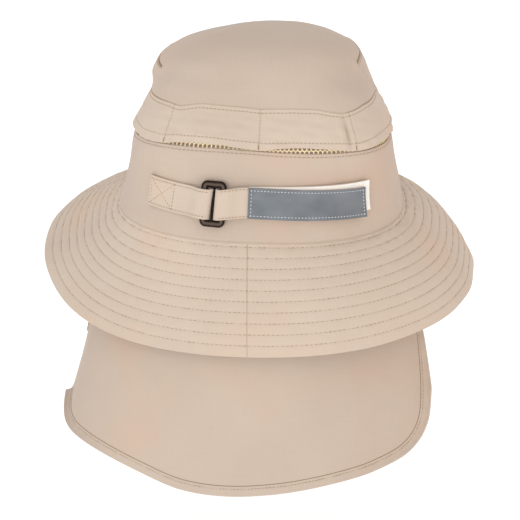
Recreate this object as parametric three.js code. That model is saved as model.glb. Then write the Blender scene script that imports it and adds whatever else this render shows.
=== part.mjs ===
// Sun cap with a vented crown, a bell brim, a back adjuster strap and a neck cape.
// Millimetres. +Z is up, +Y is towards the wearer's face and +X to the wearer's right.
// The origin is the middle of the head opening, level with the brim seam at the temples.
// Azimuth is in degrees from the middle of the back: 90 is the wearer's right, -90 the left
// and 180 the face. A level is a row number in the table of crown sections, or between two rows.
import * as THREE from "three";

// Crown and head opening
const headHalfWidth = 88; // at the brim seam, outside
const headHalfLength = 98;
const crownHeight = 109; // from the brim seam to the highest point
const crownCloth = 1.2;
const seamGap = 0.3; // clearance wherever two pieces are sewn edge to edge
const dartAzimuth = 78.75; // of the two darts that turn the side of the crown into its top
const dartDepth = 1.4;
const dartWidth = 6; // degrees to each side

// Vent: a net band between the two halves of the crown, under a tacked flap
const netCloth = 1;
const flapCloth = 1;
const flapOverhang = -0.3; // how far the flap reaches below the net at a tack
const flapStandOff = 0.5; // how far its hem stands off the crown at a tack
const flapBulge = 1.1; // and how much further between two tacks
const flapLift = 2.8; // how far the hem rises between two tacks
const tackCount = 9;
const firstTack = 1; // azimuth of the tack nearest the middle of the back

// Brim
const brimWidth = 66; // along the cloth, from the seam to the edge
const brimCloth = 2.4;

// Neck cape
const capeDrop = 143.6; // from the brim seam to the hem, at the middle of the back
const capeCloth = 1.2;
const capeTuck = 5; // sewn up inside the crown by this much
const capeSeamLeft = -96; // azimuths between which it is sewn on
const capeSeamRight = 70;
const capeLeft = -90; // azimuths that its two sides head for, level with its lowest point
const capeRight = 48;
const hemWidth = 6.6;
const hemThickness = 2;
const hemGap = 0.6; // clearance between the hem and the edge of the cape

// Adjuster strap, laid flat here and then wrapped on the crown
const strapWidth = 18.5;
const strapCloth = 1.1;
const strapHeight = 18.2; // of its middle above the brim seam, at the buckle
const layerGap = 0.3; // clearance between two layers
const anchorLength = 44.5; // from the middle of the buckle to the sewn end
const anchorLift = 3; // how far its sewn end is lifted above the buckle
const anchorReturn = 14; // length of the end turned under, from the middle of the buckle
const tongueLength = 89; // from the middle of the buckle to the free end
const tongueDrop = 1.4; // how far its free end drops below the buckle
const patchStart = 20; // of the reflective patch, from the middle of the buckle
const patchLift = 1.6; // and how far the strap is lifted there
const patchCloth = 0.6;
const loopTapeLength = 73;
const loopTapeCloth = 1.1;
const foldGap = 1.7; // between the ends of the two straps, in the middle of the buckle

// Buckle
const buckleAzimuth = -16;
const buckleTurn = -2; // degrees, anticlockwise from behind
const buckleWidth = 15;
const buckleBar = 4;
const buckleThickness = 2.4;
const buckleCorner = 3;
const buckleBevel = 0.6;
const buckleSeat = 0.8; // clearance to the strap's layer under it, which is curved
const buckleSlack = 0.8; // and to the one over it
const slotSlack = 0.6; // and between each edge of the strap and the end of the slot

// How finely the sheets are divided
const columnsAround = 64;
const crownRows = 5;
const netRows = 3;
const brimRows = 7;
const capeColumns = 44;
const strapColumns = 2;
const stripStep = 6; // length of one division along a strip

const radians = THREE.MathUtils.degToRad;

// Level sections of the crown from the brim seam up. Rises are shares of crownHeight, half widths and
// sideways shifts of headHalfWidth, and back and front of headHalfLength. Square is the exponent of the
// oval, tip the degrees that a section climbs towards the face and roll those towards the right.
const crownSections = [
  { rise: 0.0, halfWidth: 1.0, back: 0.95, front: 1.0, square: 2.4, tip: 2, roll: -1, shift: 0 },
  { rise: 0.185, halfWidth: 0.94, back: 0.905, front: 0.965, square: 2.5, tip: -0.5, roll: 0, shift: 0.005 },
  { rise: 0.415, halfWidth: 0.885, back: 0.87, front: 0.915, square: 3.0, tip: -2.5, roll: -1, shift: 0.014 },
  { rise: 0.65, halfWidth: 0.77, back: 0.755, front: 0.79, square: 3.4, tip: -1.8, roll: -2, shift: 0.02 },
  { rise: 0.74, halfWidth: 0.752, back: 0.715, front: 0.775, square: 2.6, tip: -4, roll: -1.3, shift: 0 },
  { rise: 0.85, halfWidth: 0.68, back: 0.635, front: 0.7, square: 2.5, tip: -6, roll: 1.8, shift: -0.01 },
  { rise: 0.932, halfWidth: 0.52, back: 0.5, front: 0.535, square: 2.15, tip: -6, roll: 1.6, shift: 0 },
  { rise: 0.982, halfWidth: 0.31, back: 0.3, front: 0.32, square: 2.05, tip: -4, roll: 1.9, shift: 0 },
  { rise: 1.0, halfWidth: 0.0, back: 0.0, front: 0.0, square: 2, tip: -3, roll: 1, shift: 0 },
];
const netFootIndex = 2; // the section where the lower crown ends and the net begins
const netHeadIndex = 3; // the section where the net ends and the upper crown begins
const shoulder = 5; // the section where the side of the crown turns into its top
const peakLevel = crownSections.length - 1;

// Slope of the brim below level, in degrees, at its seam and at its edge, all the way round.
const brimSlopes = [
  { azimuth: -135, seam: 10, edge: 32 },
  { azimuth: -90, seam: 48, edge: 34 },
  { azimuth: -45, seam: 70, edge: 63 },
  { azimuth: 0, seam: 62, edge: 74 },
  { azimuth: 45, seam: 36, edge: 80 },
  { azimuth: 90, seam: 25, edge: 66 },
  { azimuth: 135, seam: 4, edge: 72 },
  { azimuth: 180, seam: 2, edge: 50 },
];

// The lower edge of the cape, without the hem. Across is 0 at the cape's left side and 1 at its right,
// drops are shares of the drop at the middle of the back, and curl is how far the hem turns outwards,
// in degrees.
const capeHemLine = [
  { across: 0, drop: 0.62, curl: 30 },
  { across: 0.004, drop: 0.76, curl: 38 },
  { across: 0.035, drop: 0.855, curl: 42 },
  { across: 0.12, drop: 0.895, curl: 36 },
  { across: 0.22, drop: 0.918, curl: 24 },
  { across: 0.325, drop: 0.925, curl: 10 },
  { across: 0.42, drop: 0.952, curl: 0 },
  { across: 0.51, drop: 0.992, curl: 0 },
  { across: 0.61, drop: 1, curl: 0 },
  { across: 0.71, drop: 0.982, curl: 0 },
  { across: 0.81, drop: 0.95, curl: 0 },
  { across: 0.9, drop: 0.912, curl: 3 },
  { across: 0.962, drop: 0.862, curl: 8 },
  { across: 0.992, drop: 0.78, curl: 12 },
  { across: 1, drop: 0.67, curl: 15 },
];

// How far the cape leans out from upright, in degrees, round the head.
const capeLeans = [
  { azimuth: -120, lean: 17 },
  { azimuth: -80, lean: 17.5 },
  { azimuth: -40, lean: 15.5 },
  { azimuth: 0, lean: 15 },
  { azimuth: 40, lean: 15 },
  { azimuth: 80, lean: 22 },
];

// Smooth curve through four neighbouring values, between the middle two.
function between(before, from, to, after, t) {
  const slope = to - before;
  const bend = 2 * before - 5 * from + 4 * to - after;
  const twist = 3 * (from - to) + after - before;
  return from + 0.5 * t * (slope + t * (bend + t * twist));
}

// One row of a table at a position between its rows, 0 for the first and 1 for the second. A table
// that goes round closes on itself.
function rowAt(table, position, round = false) {
  const count = table.length;
  const low = round ? Math.floor(position) : Math.min(Math.floor(position), count - 2);
  const pick = (i) => (round ? table[(i + count) % count] : table[Math.min(Math.max(i, 0), count - 1)]);
  const row = {};
  for (const column of Object.keys(table[0])) {
    const [a, b, c, d] = [-1, 0, 1, 2].map((step) => pick(low + step)[column]);
    row[column] = between(a, b, c, d, position - low);
  }
  return row;
}

// A row of a table whose azimuths are evenly spaced.
function rowAtAzimuth(table, azimuth, round = false) {
  const spacing = table[1].azimuth - table[0].azimuth;
  const ahead = azimuth - table[0].azimuth;
  return rowAt(table, (round ? (ahead + 720) % 360 : ahead) / spacing, round);
}

// A point of the crown's outer face.
function crownPoint(level, azimuth) {
  const section = rowAt(crownSections, level);
  const side = Math.sin(radians(azimuth));
  const rear = Math.cos(radians(azimuth));
  const power = section.square;
  const reach = (Math.abs(side) ** power + Math.abs(rear) ** power) ** (-1 / power);
  const length = rear > 0 ? section.back : section.front;
  const x = headHalfWidth * (section.halfWidth * side * reach + section.shift);
  const y = -headHalfLength * length * rear * reach;
  const tilt = Math.tan(radians(section.tip)) * y + Math.tan(radians(section.roll)) * x;
  return new THREE.Vector3(x, y, crownHeight * section.rise + tilt);
}

// The level at a height above the brim seam.
function levelAt(height) {
  let low = 0;
  let high = peakLevel;
  for (let halving = 0; halving < 24; halving++) {
    const middle = (low + high) / 2;
    if (rowAt(crownSections, middle).rise * crownHeight < height) low = middle;
    else high = middle;
  }
  return (low + high) / 2;
}

// The level that lies a length above a section, or below it if the length is negative.
const levelFrom = (section, length) => levelAt(crownSections[section].rise * crownHeight + length);

// The normal of a surface given as a function of two parameters, by their cross product.
function normalOf(surface, u, v) {
  const step = 0.01;
  const alongU = surface(u + step, v).sub(surface(u - step, v));
  const alongV = surface(u, v + step).sub(surface(u, v - step));
  return alongV.cross(alongU).normalize();
}

// The crown's outer face pushed out by an offset, or in if it is negative.
function crownOffset(level, azimuth, offset) {
  const margin = 0.02;
  const safe = Math.min(Math.max(level, margin), peakLevel - margin);
  return crownPoint(level, azimuth).addScaledVector(normalOf(crownPoint, safe, azimuth), offset);
}

// The horizontal direction straight out from the brim seam.
function outwardAt(azimuth) {
  const step = 0.5;
  const tangent = crownPoint(0, azimuth + step).sub(crownPoint(0, azimuth - step));
  return new THREE.Vector3(tangent.y, -tangent.x, 0).normalize();
}

// A closed mesh from the grids of points of its two faces, rows of columns. Around joins the last
// column to the first, and tips are the two points that close the last row.
function solidFromGrids(faceA, faceB, { around = false, tips = null } = {}) {
  const rows = faceA.length;
  const columns = faceA[0].length;
  const points = [...faceA.flat(), ...faceB.flat()];
  const index = (face, row, column) => (face * rows + row) * columns + (column % columns);
  const triangles = [];
  const quad = (a, b, c, d) => triangles.push(a, b, c, a, c, d);
  const spans = around ? columns : columns - 1;
  const end = rows - 1;
  for (let column = 0; column < spans; column++) {
    const next = column + 1;
    for (let row = 0; row < end; row++) {
      quad(index(0, row, column), index(0, row, next), index(0, row + 1, next), index(0, row + 1, column));
      quad(index(1, row, column), index(1, row + 1, column), index(1, row + 1, next), index(1, row, next));
    }
    quad(index(0, 0, column), index(1, 0, column), index(1, 0, next), index(0, 0, next));
    if (tips) {
      triangles.push(index(0, end, column), index(0, end, next), points.length);
      triangles.push(index(1, end, next), index(1, end, column), points.length + 1);
    } else {
      quad(index(0, end, column), index(0, end, next), index(1, end, next), index(1, end, column));
    }
  }
  if (tips) points.push(...tips);
  if (!around) {
    const last = columns - 1;
    for (let row = 0; row < end; row++) {
      quad(index(0, row, 0), index(0, row + 1, 0), index(1, row + 1, 0), index(1, row, 0));
      quad(index(0, row, last), index(1, row, last), index(1, row + 1, last), index(0, row + 1, last));
    }
  }
  if (signedVolume(points, triangles) < 0) triangles.reverse();
  const geometry = new THREE.BufferGeometry();
  geometry.setAttribute("position", new THREE.Float32BufferAttribute(points.flatMap((p) => p.toArray()), 3));
  geometry.setIndex(triangles);
  return geometry;
}

// Positive where the triangles face outwards.
function signedVolume(points, triangles) {
  let volume = 0;
  for (let i = 0; i < triangles.length; i += 3) {
    const [a, b, c] = triangles.slice(i, i + 3).map((corner) => points[corner]);
    volume += a.dot(b.clone().cross(c)) / 6;
  }
  return volume;
}

const azimuthsAround = Array.from({ length: columnsAround }, (_, i) => -180 + (360 * i) / columnsAround);
const evenSteps = (count) => Array.from({ length: count + 1 }, (_, i) => i / count);
const mix = THREE.MathUtils.lerp;

// A band of the crown between two levels, all the way round, set in by a depth.
function crownBand(fromLevel, toLevel, rows, cloth, depth) {
  const levels = evenSteps(rows).map((t) => mix(fromLevel, toLevel, t));
  const face = (inset) => levels.map((level) => azimuthsAround.map((a) => crownOffset(level, a, -inset)));
  return solidFromGrids(face(depth), face(depth + cloth), { around: true });
}

function lowerCrown() {
  return crownBand(0, netFootIndex, crownRows, crownCloth, 0);
}

const netDepth = flapCloth + seamGap;

function ventNet() {
  const foot = levelFrom(netFootIndex, seamGap);
  const head = levelFrom(netHeadIndex, -seamGap);
  return crownBand(foot, head, netRows, netCloth, netDepth);
}

// How deep the darts pull the upper crown in.
function dartPull(level, azimuth) {
  const across = Math.max(0, 1 - Math.abs(Math.abs(azimuth) - dartAzimuth) / dartWidth);
  const alongDart = Math.max(0, 1 - Math.abs(level - (netHeadIndex + shoulder) / 2) / (shoulder - netHeadIndex));
  return dartDepth * across * alongDart;
}

// The upper crown's edge is as thick as the flap and net that are sewn to it.
function upperCrown() {
  const start = levelFrom(netHeadIndex, seamGap);
  const inner = 0.15; // how far the last row stays from the peak, in levels
  const shares = [0, 0.07, 0.17, 0.28, 0.4, 0.52, 0.64, 0.76, 0.88, 1];
  const levels = shares.map((share) => mix(start, peakLevel - inner, share));
  const edge = netDepth + netCloth;
  const face = (insets) =>
    levels.map((level, i) => azimuthsAround.map((a) => crownOffset(level, a, -insets[i] - dartPull(level, a))));
  const peak = crownPoint(peakLevel, 0);
  const peakInside = peak.clone().setZ(peak.z - crownCloth);
  const outside = face(levels.map(() => 0));
  const inside = face(levels.map((_, i) => (i === 0 ? edge : crownCloth)));
  return solidFromGrids(outside, inside, { around: true, tips: [peak, peakInside] });
}

// 0 at a tack and 1 midway between two tacks.
function tackSpan(azimuth) {
  const fullness = 0.7;
  return Math.abs(Math.sin((radians(azimuth - firstTack) * tackCount) / 2)) ** fullness;
}

function ventFlap() {
  const low = levelFrom(netFootIndex, -flapOverhang);
  const lifted = levelFrom(netFootIndex, flapLift - flapOverhang);
  const high = levelFrom(netHeadIndex, -seamGap);
  const shares = [0, 0.12, 0.3, 0.6, 1];
  const face = (depth) =>
    shares.map((share) =>
      azimuthsAround.map((azimuth) => {
        const open = tackSpan(azimuth);
        const level = mix(mix(low, lifted, open), high, share);
        const inside = mix(flapStandOff + flapBulge * open, -flapCloth, share);
        return crownOffset(level, azimuth, inside + flapCloth - depth);
      }),
    );
  return solidFromGrids(face(0), face(flapCloth), { around: true });
}

// A point of the brim's upper face: along is 0 at the seam and 1 at the edge.
function brimPoint(along, azimuth) {
  const slope = rowAtAzimuth(brimSlopes, azimuth, true);
  const outward = outwardAt(azimuth);
  const place = crownPoint(0, azimuth);
  place.z -= seamGap;
  const pieces = 8;
  for (let piece = 0; piece < pieces; piece++) {
    const turn = radians(mix(slope.seam, slope.edge, ((piece + 0.5) / pieces) * along));
    const length = (brimWidth * along) / pieces;
    place.addScaledVector(outward, length * Math.cos(turn));
    place.z -= length * Math.sin(turn);
  }
  return place;
}

function brim() {
  const underPoint = (along, azimuth) => {
    const inside = THREE.MathUtils.clamp(along, 0.02, 0.98);
    const down = normalOf(brimPoint, inside, azimuth);
    return brimPoint(along, azimuth).addScaledVector(down, brimCloth);
  };
  const face = (point) => evenSteps(brimRows).map((along) => azimuthsAround.map((a) => point(along, a)));
  return solidFromGrids(face(brimPoint), face(underPoint), { around: true });
}

// A point of the cape's outer face, a drop below the brim seam or, if negative, up inside the crown.
// It starts clear of the brim's inner edge.
function capePoint(drop, azimuth) {
  const inset = brimCloth + 2 * seamGap;
  if (drop < 0) return crownOffset(levelAt(-drop), azimuth, -inset);
  const lean = radians(rowAtAzimuth(capeLeans, azimuth).lean);
  const place = crownOffset(0, azimuth, -inset);
  place.addScaledVector(outwardAt(azimuth), drop * Math.tan(lean));
  place.z -= drop;
  return place;
}

// A thread of the cape from its seam down to its lower edge, at a share of the way along that edge.
function capeThread(along) {
  const thread = rowAt(capeHemLine, along * (capeHemLine.length - 1));
  return { ...thread, drop: thread.drop * (capeDrop - hemWidth) };
}

// A point that is a share of the way down a thread. The hem lies flat along the upper part of a side.
function threadPoint({ across, drop, curl }, share) {
  const depth = (drop * share) / (capeDrop - hemWidth);
  const left = mix(capeSeamLeft, capeLeft, depth);
  const right = mix(capeSeamRight, capeRight, depth);
  return { azimuth: mix(left, right, across), drop: drop * share, curl: curl * share ** 12 };
}

const capeNormal = (drop, azimuth) => normalOf(capePoint, Math.max(drop, 1), azimuth);

const threadShares = [0, 0.12, 0.3, 0.5, 0.7, 0.86, 1];

function neckCape() {
  const threads = evenSteps(capeColumns).map(capeThread);
  const face = (depth) => {
    const place = ({ drop, azimuth }) =>
      capePoint(drop, azimuth).addScaledVector(capeNormal(drop, azimuth), depth);
    const tucked = threads.map((thread) => place({ ...threadPoint(thread, 0), drop: -capeTuck }));
    const hanging = threadShares.map((share) => threads.map((thread) => place(threadPoint(thread, share))));
    return [tucked, ...hanging];
  };
  return solidFromGrids(face(0), face(capeCloth));
}

// The turned hem round the free edge of the cape, sewn on edge to edge.
function capeHem() {
  const shares = threadShares.slice(1, -1);
  const left = shares.map((share) => threadPoint(capeThread(0), share));
  const right = shares.map((share) => threadPoint(capeThread(1), share));
  const bottom = evenSteps(capeColumns).map((along) => threadPoint(capeThread(along), 1));
  const path = [...left, ...bottom, ...right.reverse()];
  const middles = path.map(({ drop, azimuth }) =>
    capePoint(drop, azimuth).addScaledVector(capeNormal(drop, azimuth), capeCloth / 2),
  );
  const face = (side) => {
    const inner = [];
    const outer = [];
    middles.forEach((middle, i) => {
      const before = middles[Math.max(i - 1, 0)];
      const after = middles[Math.min(i + 1, middles.length - 1)];
      const tangent = after.clone().sub(before).normalize();
      const inward = capeNormal(path[i].drop, path[i].azimuth);
      const away = inward.clone().cross(tangent);
      const start = middle.clone().addScaledVector(away, hemGap);
      inner.push(start.clone().addScaledVector(inward, side * hemThickness));
      const curl = radians(path[i].curl);
      away.applyAxisAngle(tangent, curl);
      inward.applyAxisAngle(tangent, curl);
      outer.push(start.addScaledVector(away, hemWidth).addScaledVector(inward, side * hemThickness));
    });
    return [inner, outer];
  };
  return solidFromGrids(face(-0.5), face(0.5));
}

// The crown wall as a flat sheet for the strap: along is to the wearer's right from the middle of the
// back, up from the middle of the strap, and out from the wall.
const strapLevel = levelAt(strapHeight);
const wallAzimuths = Array.from({ length: 361 }, (_, i) => i - 180); // every degree, all the way round
const backIndex = wallAzimuths.indexOf(0);
const wallDistances = [0];
for (const azimuth of wallAzimuths.slice(1)) {
  const stretch = crownPoint(strapLevel, azimuth - 1).distanceTo(crownPoint(strapLevel, azimuth));
  wallDistances.push(wallDistances.at(-1) + stretch);
}

function azimuthAlong(along) {
  const distance = along + wallDistances[backIndex];
  const next = wallDistances.findIndex((value) => value > distance);
  const before = wallDistances[next - 1];
  return wallAzimuths[next - 1] + (distance - before) / (wallDistances[next] - before);
}

function onWall({ along, up, out }) {
  const azimuth = azimuthAlong(along);
  const above = crownPoint(levelAt(strapHeight + 1), azimuth);
  const slant = above.distanceTo(crownPoint(strapLevel, azimuth));
  return crownOffset(levelAt(strapHeight + up / slant), azimuth, out);
}

const buckleAlong = (() => {
  const low = Math.floor(buckleAzimuth);
  const [before, after] = [low, low + 1].map((azimuth) => wallDistances[azimuth + backIndex]);
  return mix(before, after, buckleAzimuth - low) - wallDistances[backIndex];
})();

// Distances of each layer's middle from the crown wall
const underLayer = layerGap + strapCloth / 2;
const overUnder = layerGap + strapCloth + layerGap;
const buckleBack = layerGap + strapCloth + buckleSeat;
const overBuckle = buckleBack + buckleThickness + buckleSlack + strapCloth / 2;
const loopTapeLayer = overUnder + loopTapeCloth / 2;
const overTape = overUnder + loopTapeCloth + layerGap + strapCloth / 2;
const patchLayer = overTape + strapCloth / 2 + layerGap + patchCloth / 2;

// A strip of cloth wrapped on the crown. Each point of its path gives a distance from the middle of the
// buckle, how far the strip is lifted there and how far it lies out from the wall.
function strip(path, cloth, turn = 0) {
  const curve = new THREE.CatmullRomCurve3(path.map(({ from, lift, out }) => new THREE.Vector3(from, lift, out)));
  const spans = path.length - 1;
  const positions = [0];
  for (let span = 0; span < spans; span++) {
    const length = Math.hypot(path[span + 1].from - path[span].from, path[span + 1].out - path[span].out);
    const parts = Math.ceil(length / stripStep);
    for (let part = 1; part <= parts; part++) positions.push((span + part / parts) / spans);
  }
  const face = (side) =>
    positions.map((position) => {
      const middle = curve.getPoint(position);
      const tangent = curve.getTangent(position);
      const away = new THREE.Vector2(-tangent.z, tangent.x).setLength((side * cloth) / 2);
      return evenSteps(strapColumns).map((share) => {
        const across = (share - 0.5) * strapWidth;
        const along = buckleAlong + middle.x + away.x + across * Math.sin(turn);
        return onWall({ along, up: middle.y + across * Math.cos(turn), out: middle.z + away.y });
      });
    });
  return solidFromGrids(face(1), face(-1));
}

// The turn of a strap round a bar, from the layer over the buckle to the one under it. It stops half
// the fold gap short of the middle of the buckle. Side is -1 for the left strap.
function turnRoundBar(side) {
  const radius = (overBuckle - underLayer) / 2;
  const centre = foldGap / 2 + strapCloth / 2 + radius;
  return [90, 60, 30, 0, -30, -60, -90].map((angle) => ({
    from: side * (centre - radius * Math.cos(radians(angle))),
    lift: 0,
    out: underLayer + radius + radius * Math.sin(radians(angle)),
  }));
}

const barReach = buckleWidth / 2 + buckleBevel;

// The left strap is sewn to the crown at its end and holds the buckle.
function strapAnchor() {
  const lift = (share) => share * anchorLift;
  const path = [
    { from: -anchorLength, lift: lift(1), out: underLayer },
    { from: -anchorLength * 0.75, lift: lift(0.75), out: underLayer },
    { from: -anchorReturn - 8, lift: lift(0.45), out: underLayer + layerGap },
    { from: -anchorReturn, lift: lift(0.3), out: underLayer + strapCloth + 2 * layerGap },
    { from: -barReach, lift: lift(0.15), out: overBuckle },
    ...turnRoundBar(-1),
    { from: -anchorReturn, lift: lift(0.3), out: underLayer },
  ];
  return strip(path, strapCloth, Math.atan(anchorLift / anchorLength));
}

const tapeEnd = patchStart + loopTapeLength;
const free = (share) => ({
  from: mix(patchStart, tongueLength, share),
  lift: mix(patchLift, -tongueDrop, share),
});

// The right strap comes from its sewn end under the loop tape, turns round the buckle's other bar and
// lies back over the tape.
function strapTongue() {
  const path = [
    { ...free(1), out: overTape },
    { ...free(0.5), out: overTape },
    { ...free(0), out: overTape },
    { from: patchStart - 6, lift: patchLift * 0.7, out: overTape },
    { from: barReach, lift: patchLift / 3, out: overBuckle },
    ...turnRoundBar(1),
    { from: patchStart, lift: patchLift, out: underLayer },
    { from: tapeEnd, lift: patchLift, out: underLayer },
  ];
  return strip(path, strapCloth);
}

function loopTape() {
  const path = [patchStart, (patchStart + tapeEnd) / 2, tapeEnd].map((from) => ({
    from,
    lift: patchLift,
    out: loopTapeLayer,
  }));
  return strip(path, loopTapeCloth);
}

function reflectivePatch() {
  const path = [0, 0.5, 1].map((share) => ({ ...free(share), out: patchLayer }));
  return strip(path, patchCloth);
}

// A rectangle with rounded corners, about its middle.
function roundedRectangle(path, width, height, corner) {
  const x = width / 2 - corner;
  const y = height / 2 - corner;
  const quarter = Math.PI / 2;
  path.absarc(x, y, corner, 0, quarter);
  path.absarc(-x, y, corner, quarter, 2 * quarter);
  path.absarc(-x, -y, corner, 2 * quarter, 3 * quarter);
  path.absarc(x, -y, corner, 3 * quarter, 4 * quarter);
  path.closePath();
  return path;
}

// The rectangular buckle, lying flat on the strap's under layer.
function buckle(mesh) {
  const slotHeight = strapWidth + 2 * slotSlack + 2 * buckleBevel;
  const height = slotHeight + 2 * buckleBar - 2 * buckleBevel;
  const outer = roundedRectangle(new THREE.Shape(), buckleWidth - 2 * buckleBevel, height, buckleCorner);
  const slotWidth = buckleWidth - 2 * buckleBar + 2 * buckleBevel;
  outer.holes.push(roundedRectangle(new THREE.Path(), slotWidth, slotHeight, buckleBevel + 0.2));
  const geometry = new THREE.ExtrudeGeometry(outer, {
    depth: buckleThickness - 2 * buckleBevel,
    bevelThickness: buckleBevel,
    bevelSize: buckleBevel,
    bevelSegments: 1,
    curveSegments: 3,
  });
  geometry.translate(0, 0, buckleBevel);
  const place = (along, up) => onWall({ along: buckleAlong + along, up, out: buckleBack });
  const right = place(1, 0).sub(place(-1, 0)).normalize();
  const out = right.clone().cross(place(0, 1).sub(place(0, -1))).normalize();
  const basis = new THREE.Matrix4().makeBasis(right, out.clone().cross(right), out);
  basis.multiply(new THREE.Matrix4().makeRotationZ(radians(buckleTurn)));
  mesh.geometry = geometry;
  mesh.position.copy(place(0, 0));
  mesh.quaternion.setFromRotationMatrix(basis);
}

const sunCap = new THREE.Group();

function finish(color, roughness, metalness = 0) {
  return new THREE.MeshStandardMaterial({ color, roughness, metalness });
}

function add(name, geometry, material) {
  const mesh = new THREE.Mesh(geometry, material);
  mesh.name = name;
  sunCap.add(mesh);
  return mesh;
}

const cloth = finish(0xd9c7b5, 0.9);
const capeFabric = finish(0xcdb9a6, 0.92);
add("lower_crown", lowerCrown(), cloth);
add("vent_net", ventNet(), finish(0xc2a878, 0.85));
add("upper_crown", upperCrown(), cloth);
add("vent_flap", ventFlap(), cloth);
add("brim", brim(), cloth);
add("neck_cape", neckCape(), capeFabric);
add("cape_hem", capeHem(), capeFabric);
add("strap_anchor", strapAnchor(), cloth);
add("strap_tongue", strapTongue(), cloth);
add("loop_tape", loopTape(), finish(0xebe8e2, 0.95));
add("reflective_patch", reflectivePatch(), finish(0x7a828a, 0.6));
buckle(add("buckle", undefined, finish(0x3d2f28, 0.35, 0.8)));

export default sunCap;
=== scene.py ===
# A khaki sun cap: vented crown, stitched bell brim, adjuster strap with a buckle, and a neck cape.
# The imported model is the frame. Each cloth piece is made here from the same measures, finer and with
# its seams, folds and stitching, and stands for the plain solid of its node.
import math

import bmesh
import bpy
import numpy as np
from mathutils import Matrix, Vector


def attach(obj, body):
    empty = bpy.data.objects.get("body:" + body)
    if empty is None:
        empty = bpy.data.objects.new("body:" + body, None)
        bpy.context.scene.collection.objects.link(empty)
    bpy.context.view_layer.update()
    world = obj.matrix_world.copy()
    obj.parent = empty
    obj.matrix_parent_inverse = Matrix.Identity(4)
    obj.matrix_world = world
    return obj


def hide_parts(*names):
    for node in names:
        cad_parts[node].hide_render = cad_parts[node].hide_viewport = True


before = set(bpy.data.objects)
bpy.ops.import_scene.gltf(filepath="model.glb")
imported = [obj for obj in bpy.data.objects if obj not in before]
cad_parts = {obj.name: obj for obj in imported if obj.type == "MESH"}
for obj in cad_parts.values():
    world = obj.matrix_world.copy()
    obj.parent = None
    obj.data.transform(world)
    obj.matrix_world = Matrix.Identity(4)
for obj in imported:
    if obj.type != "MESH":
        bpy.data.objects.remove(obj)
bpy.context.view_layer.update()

# Lower crown
# The wall of the cap from the brim seam up to the vent, in plain woven khaki cloth. Its top edge is
# turned under and topstitched, and its lower edge is let into the brim seam.
MM = 0.001  # sizes are in millimetres here and in metres in the meshes
HEAD_HALF_WIDTH = 88.0
HEAD_HALF_LENGTH = 98.0
CROWN_HEIGHT = 109.0
CROWN_CLOTH = 1.2
SEAM_GAP = 0.3
SEAM_ALLOWANCE = 2.6
TOPSTITCH_INSET = 1.9
EDGE_LINE = [  # azimuth, and how far the top edge rises over its mean height
    (-180, 0), (-90, 0.3), (-60, 0.9), (-35, 1.3), (-15, 1.3), (0, 0.6), (10, -0.2), (25, -0.6),
    (45, -0.6), (70, 0), (180, 0)]
CROWN_SECTIONS = [  # rise, half width, back, front, square, tip, roll and shift
    (0.0, 1.0, 0.95, 1.0, 2.4, 2, -1, 0),
    (0.185, 0.94, 0.905, 0.965, 2.5, -0.5, 0, 0.005),
    (0.415, 0.885, 0.87, 0.915, 3.0, -2.5, -1, 0.014),
    (0.65, 0.77, 0.755, 0.79, 3.4, -1.8, -2, 0.02),
    (0.74, 0.752, 0.715, 0.775, 2.6, -4, -1.3, 0),
    (0.85, 0.68, 0.635, 0.7, 2.5, -6, 1.8, -0.01),
    (0.932, 0.52, 0.5, 0.535, 2.15, -6, 1.6, 0),
    (0.982, 0.31, 0.3, 0.32, 2.05, -4, 1.9, 0),
    (1.0, 0.0, 0.0, 0.0, 2, -3, 1, 0)]
NET_FOOT = 2
NET_HEAD = 3
PEAK = len(CROWN_SECTIONS) - 1


def table_row(table, position, closed=False):
    """Rows of a table at positions between its rows, on a smooth curve through four of them."""
    table, position = np.asarray(table, float), np.asarray(position, float)
    count = len(table)
    low = np.floor(position).astype(int)
    if not closed:
        low = np.minimum(low, count - 2)
    steps = [(low + i) % count if closed else np.clip(low + i, 0, count - 1) for i in (-1, 0, 1, 2)]
    a, b, c, d = (table[i] for i in steps)
    t = (position - low)[..., None]
    return b + 0.5 * t * ((c - a) + t * ((2 * a - 5 * b + 4 * c - d) + t * (3 * (b - c) + d - a)))


def unit(vectors):
    """Vectors scaled to length one."""
    return vectors / np.maximum(np.linalg.norm(vectors, axis=-1, keepdims=True), 1e-9)


def run_along(points):
    """Distances along a line of points from its start."""
    return np.concatenate([[0], np.linalg.norm(np.diff(points, axis=0), axis=1).cumsum()])


def smooth_step(low, high, value):
    """0 below low, 1 above high and smooth between them."""
    t = np.clip((value - low) / (high - low), 0, 1)
    return t * t * (3 - 2 * t)


def bell(distance, width):
    """1 at no distance, falling smoothly to 0."""
    return np.exp(-((distance / width) ** 2))


def crown_point(level, azimuth):
    """Points of the crown's outer face. Azimuth is in degrees from the back, to the right."""
    level, azimuth = np.broadcast_arrays(np.asarray(level, float), np.asarray(azimuth, float))
    sections = np.moveaxis(table_row(CROWN_SECTIONS, level), -1, 0)
    rise, half_width, back, front, square, tip, roll, shift = sections
    side, rear = np.sin(np.radians(azimuth)), np.cos(np.radians(azimuth))
    reach = (np.abs(side) ** square + np.abs(rear) ** square) ** (-1 / square)
    x = HEAD_HALF_WIDTH * (half_width * side * reach + shift)
    y = -HEAD_HALF_LENGTH * np.where(rear > 0, back, front) * rear * reach
    tilt = np.tan(np.radians(tip)) * y + np.tan(np.radians(roll)) * x
    return np.stack([x, y, CROWN_HEIGHT * rise + tilt], -1)


def surface_normal(surface, u, v, step=0.01):
    """Normals of a surface given as a function of two parameters."""
    along_u = surface(u + step, v) - surface(u - step, v)
    along_v = surface(u, v + step) - surface(u, v - step)
    return unit(np.cross(along_v, along_u))


def crown_normal(level, azimuth):
    """Outward normals of the crown."""
    return surface_normal(crown_point, np.clip(level, 0.02, PEAK - 0.02), azimuth)


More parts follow.
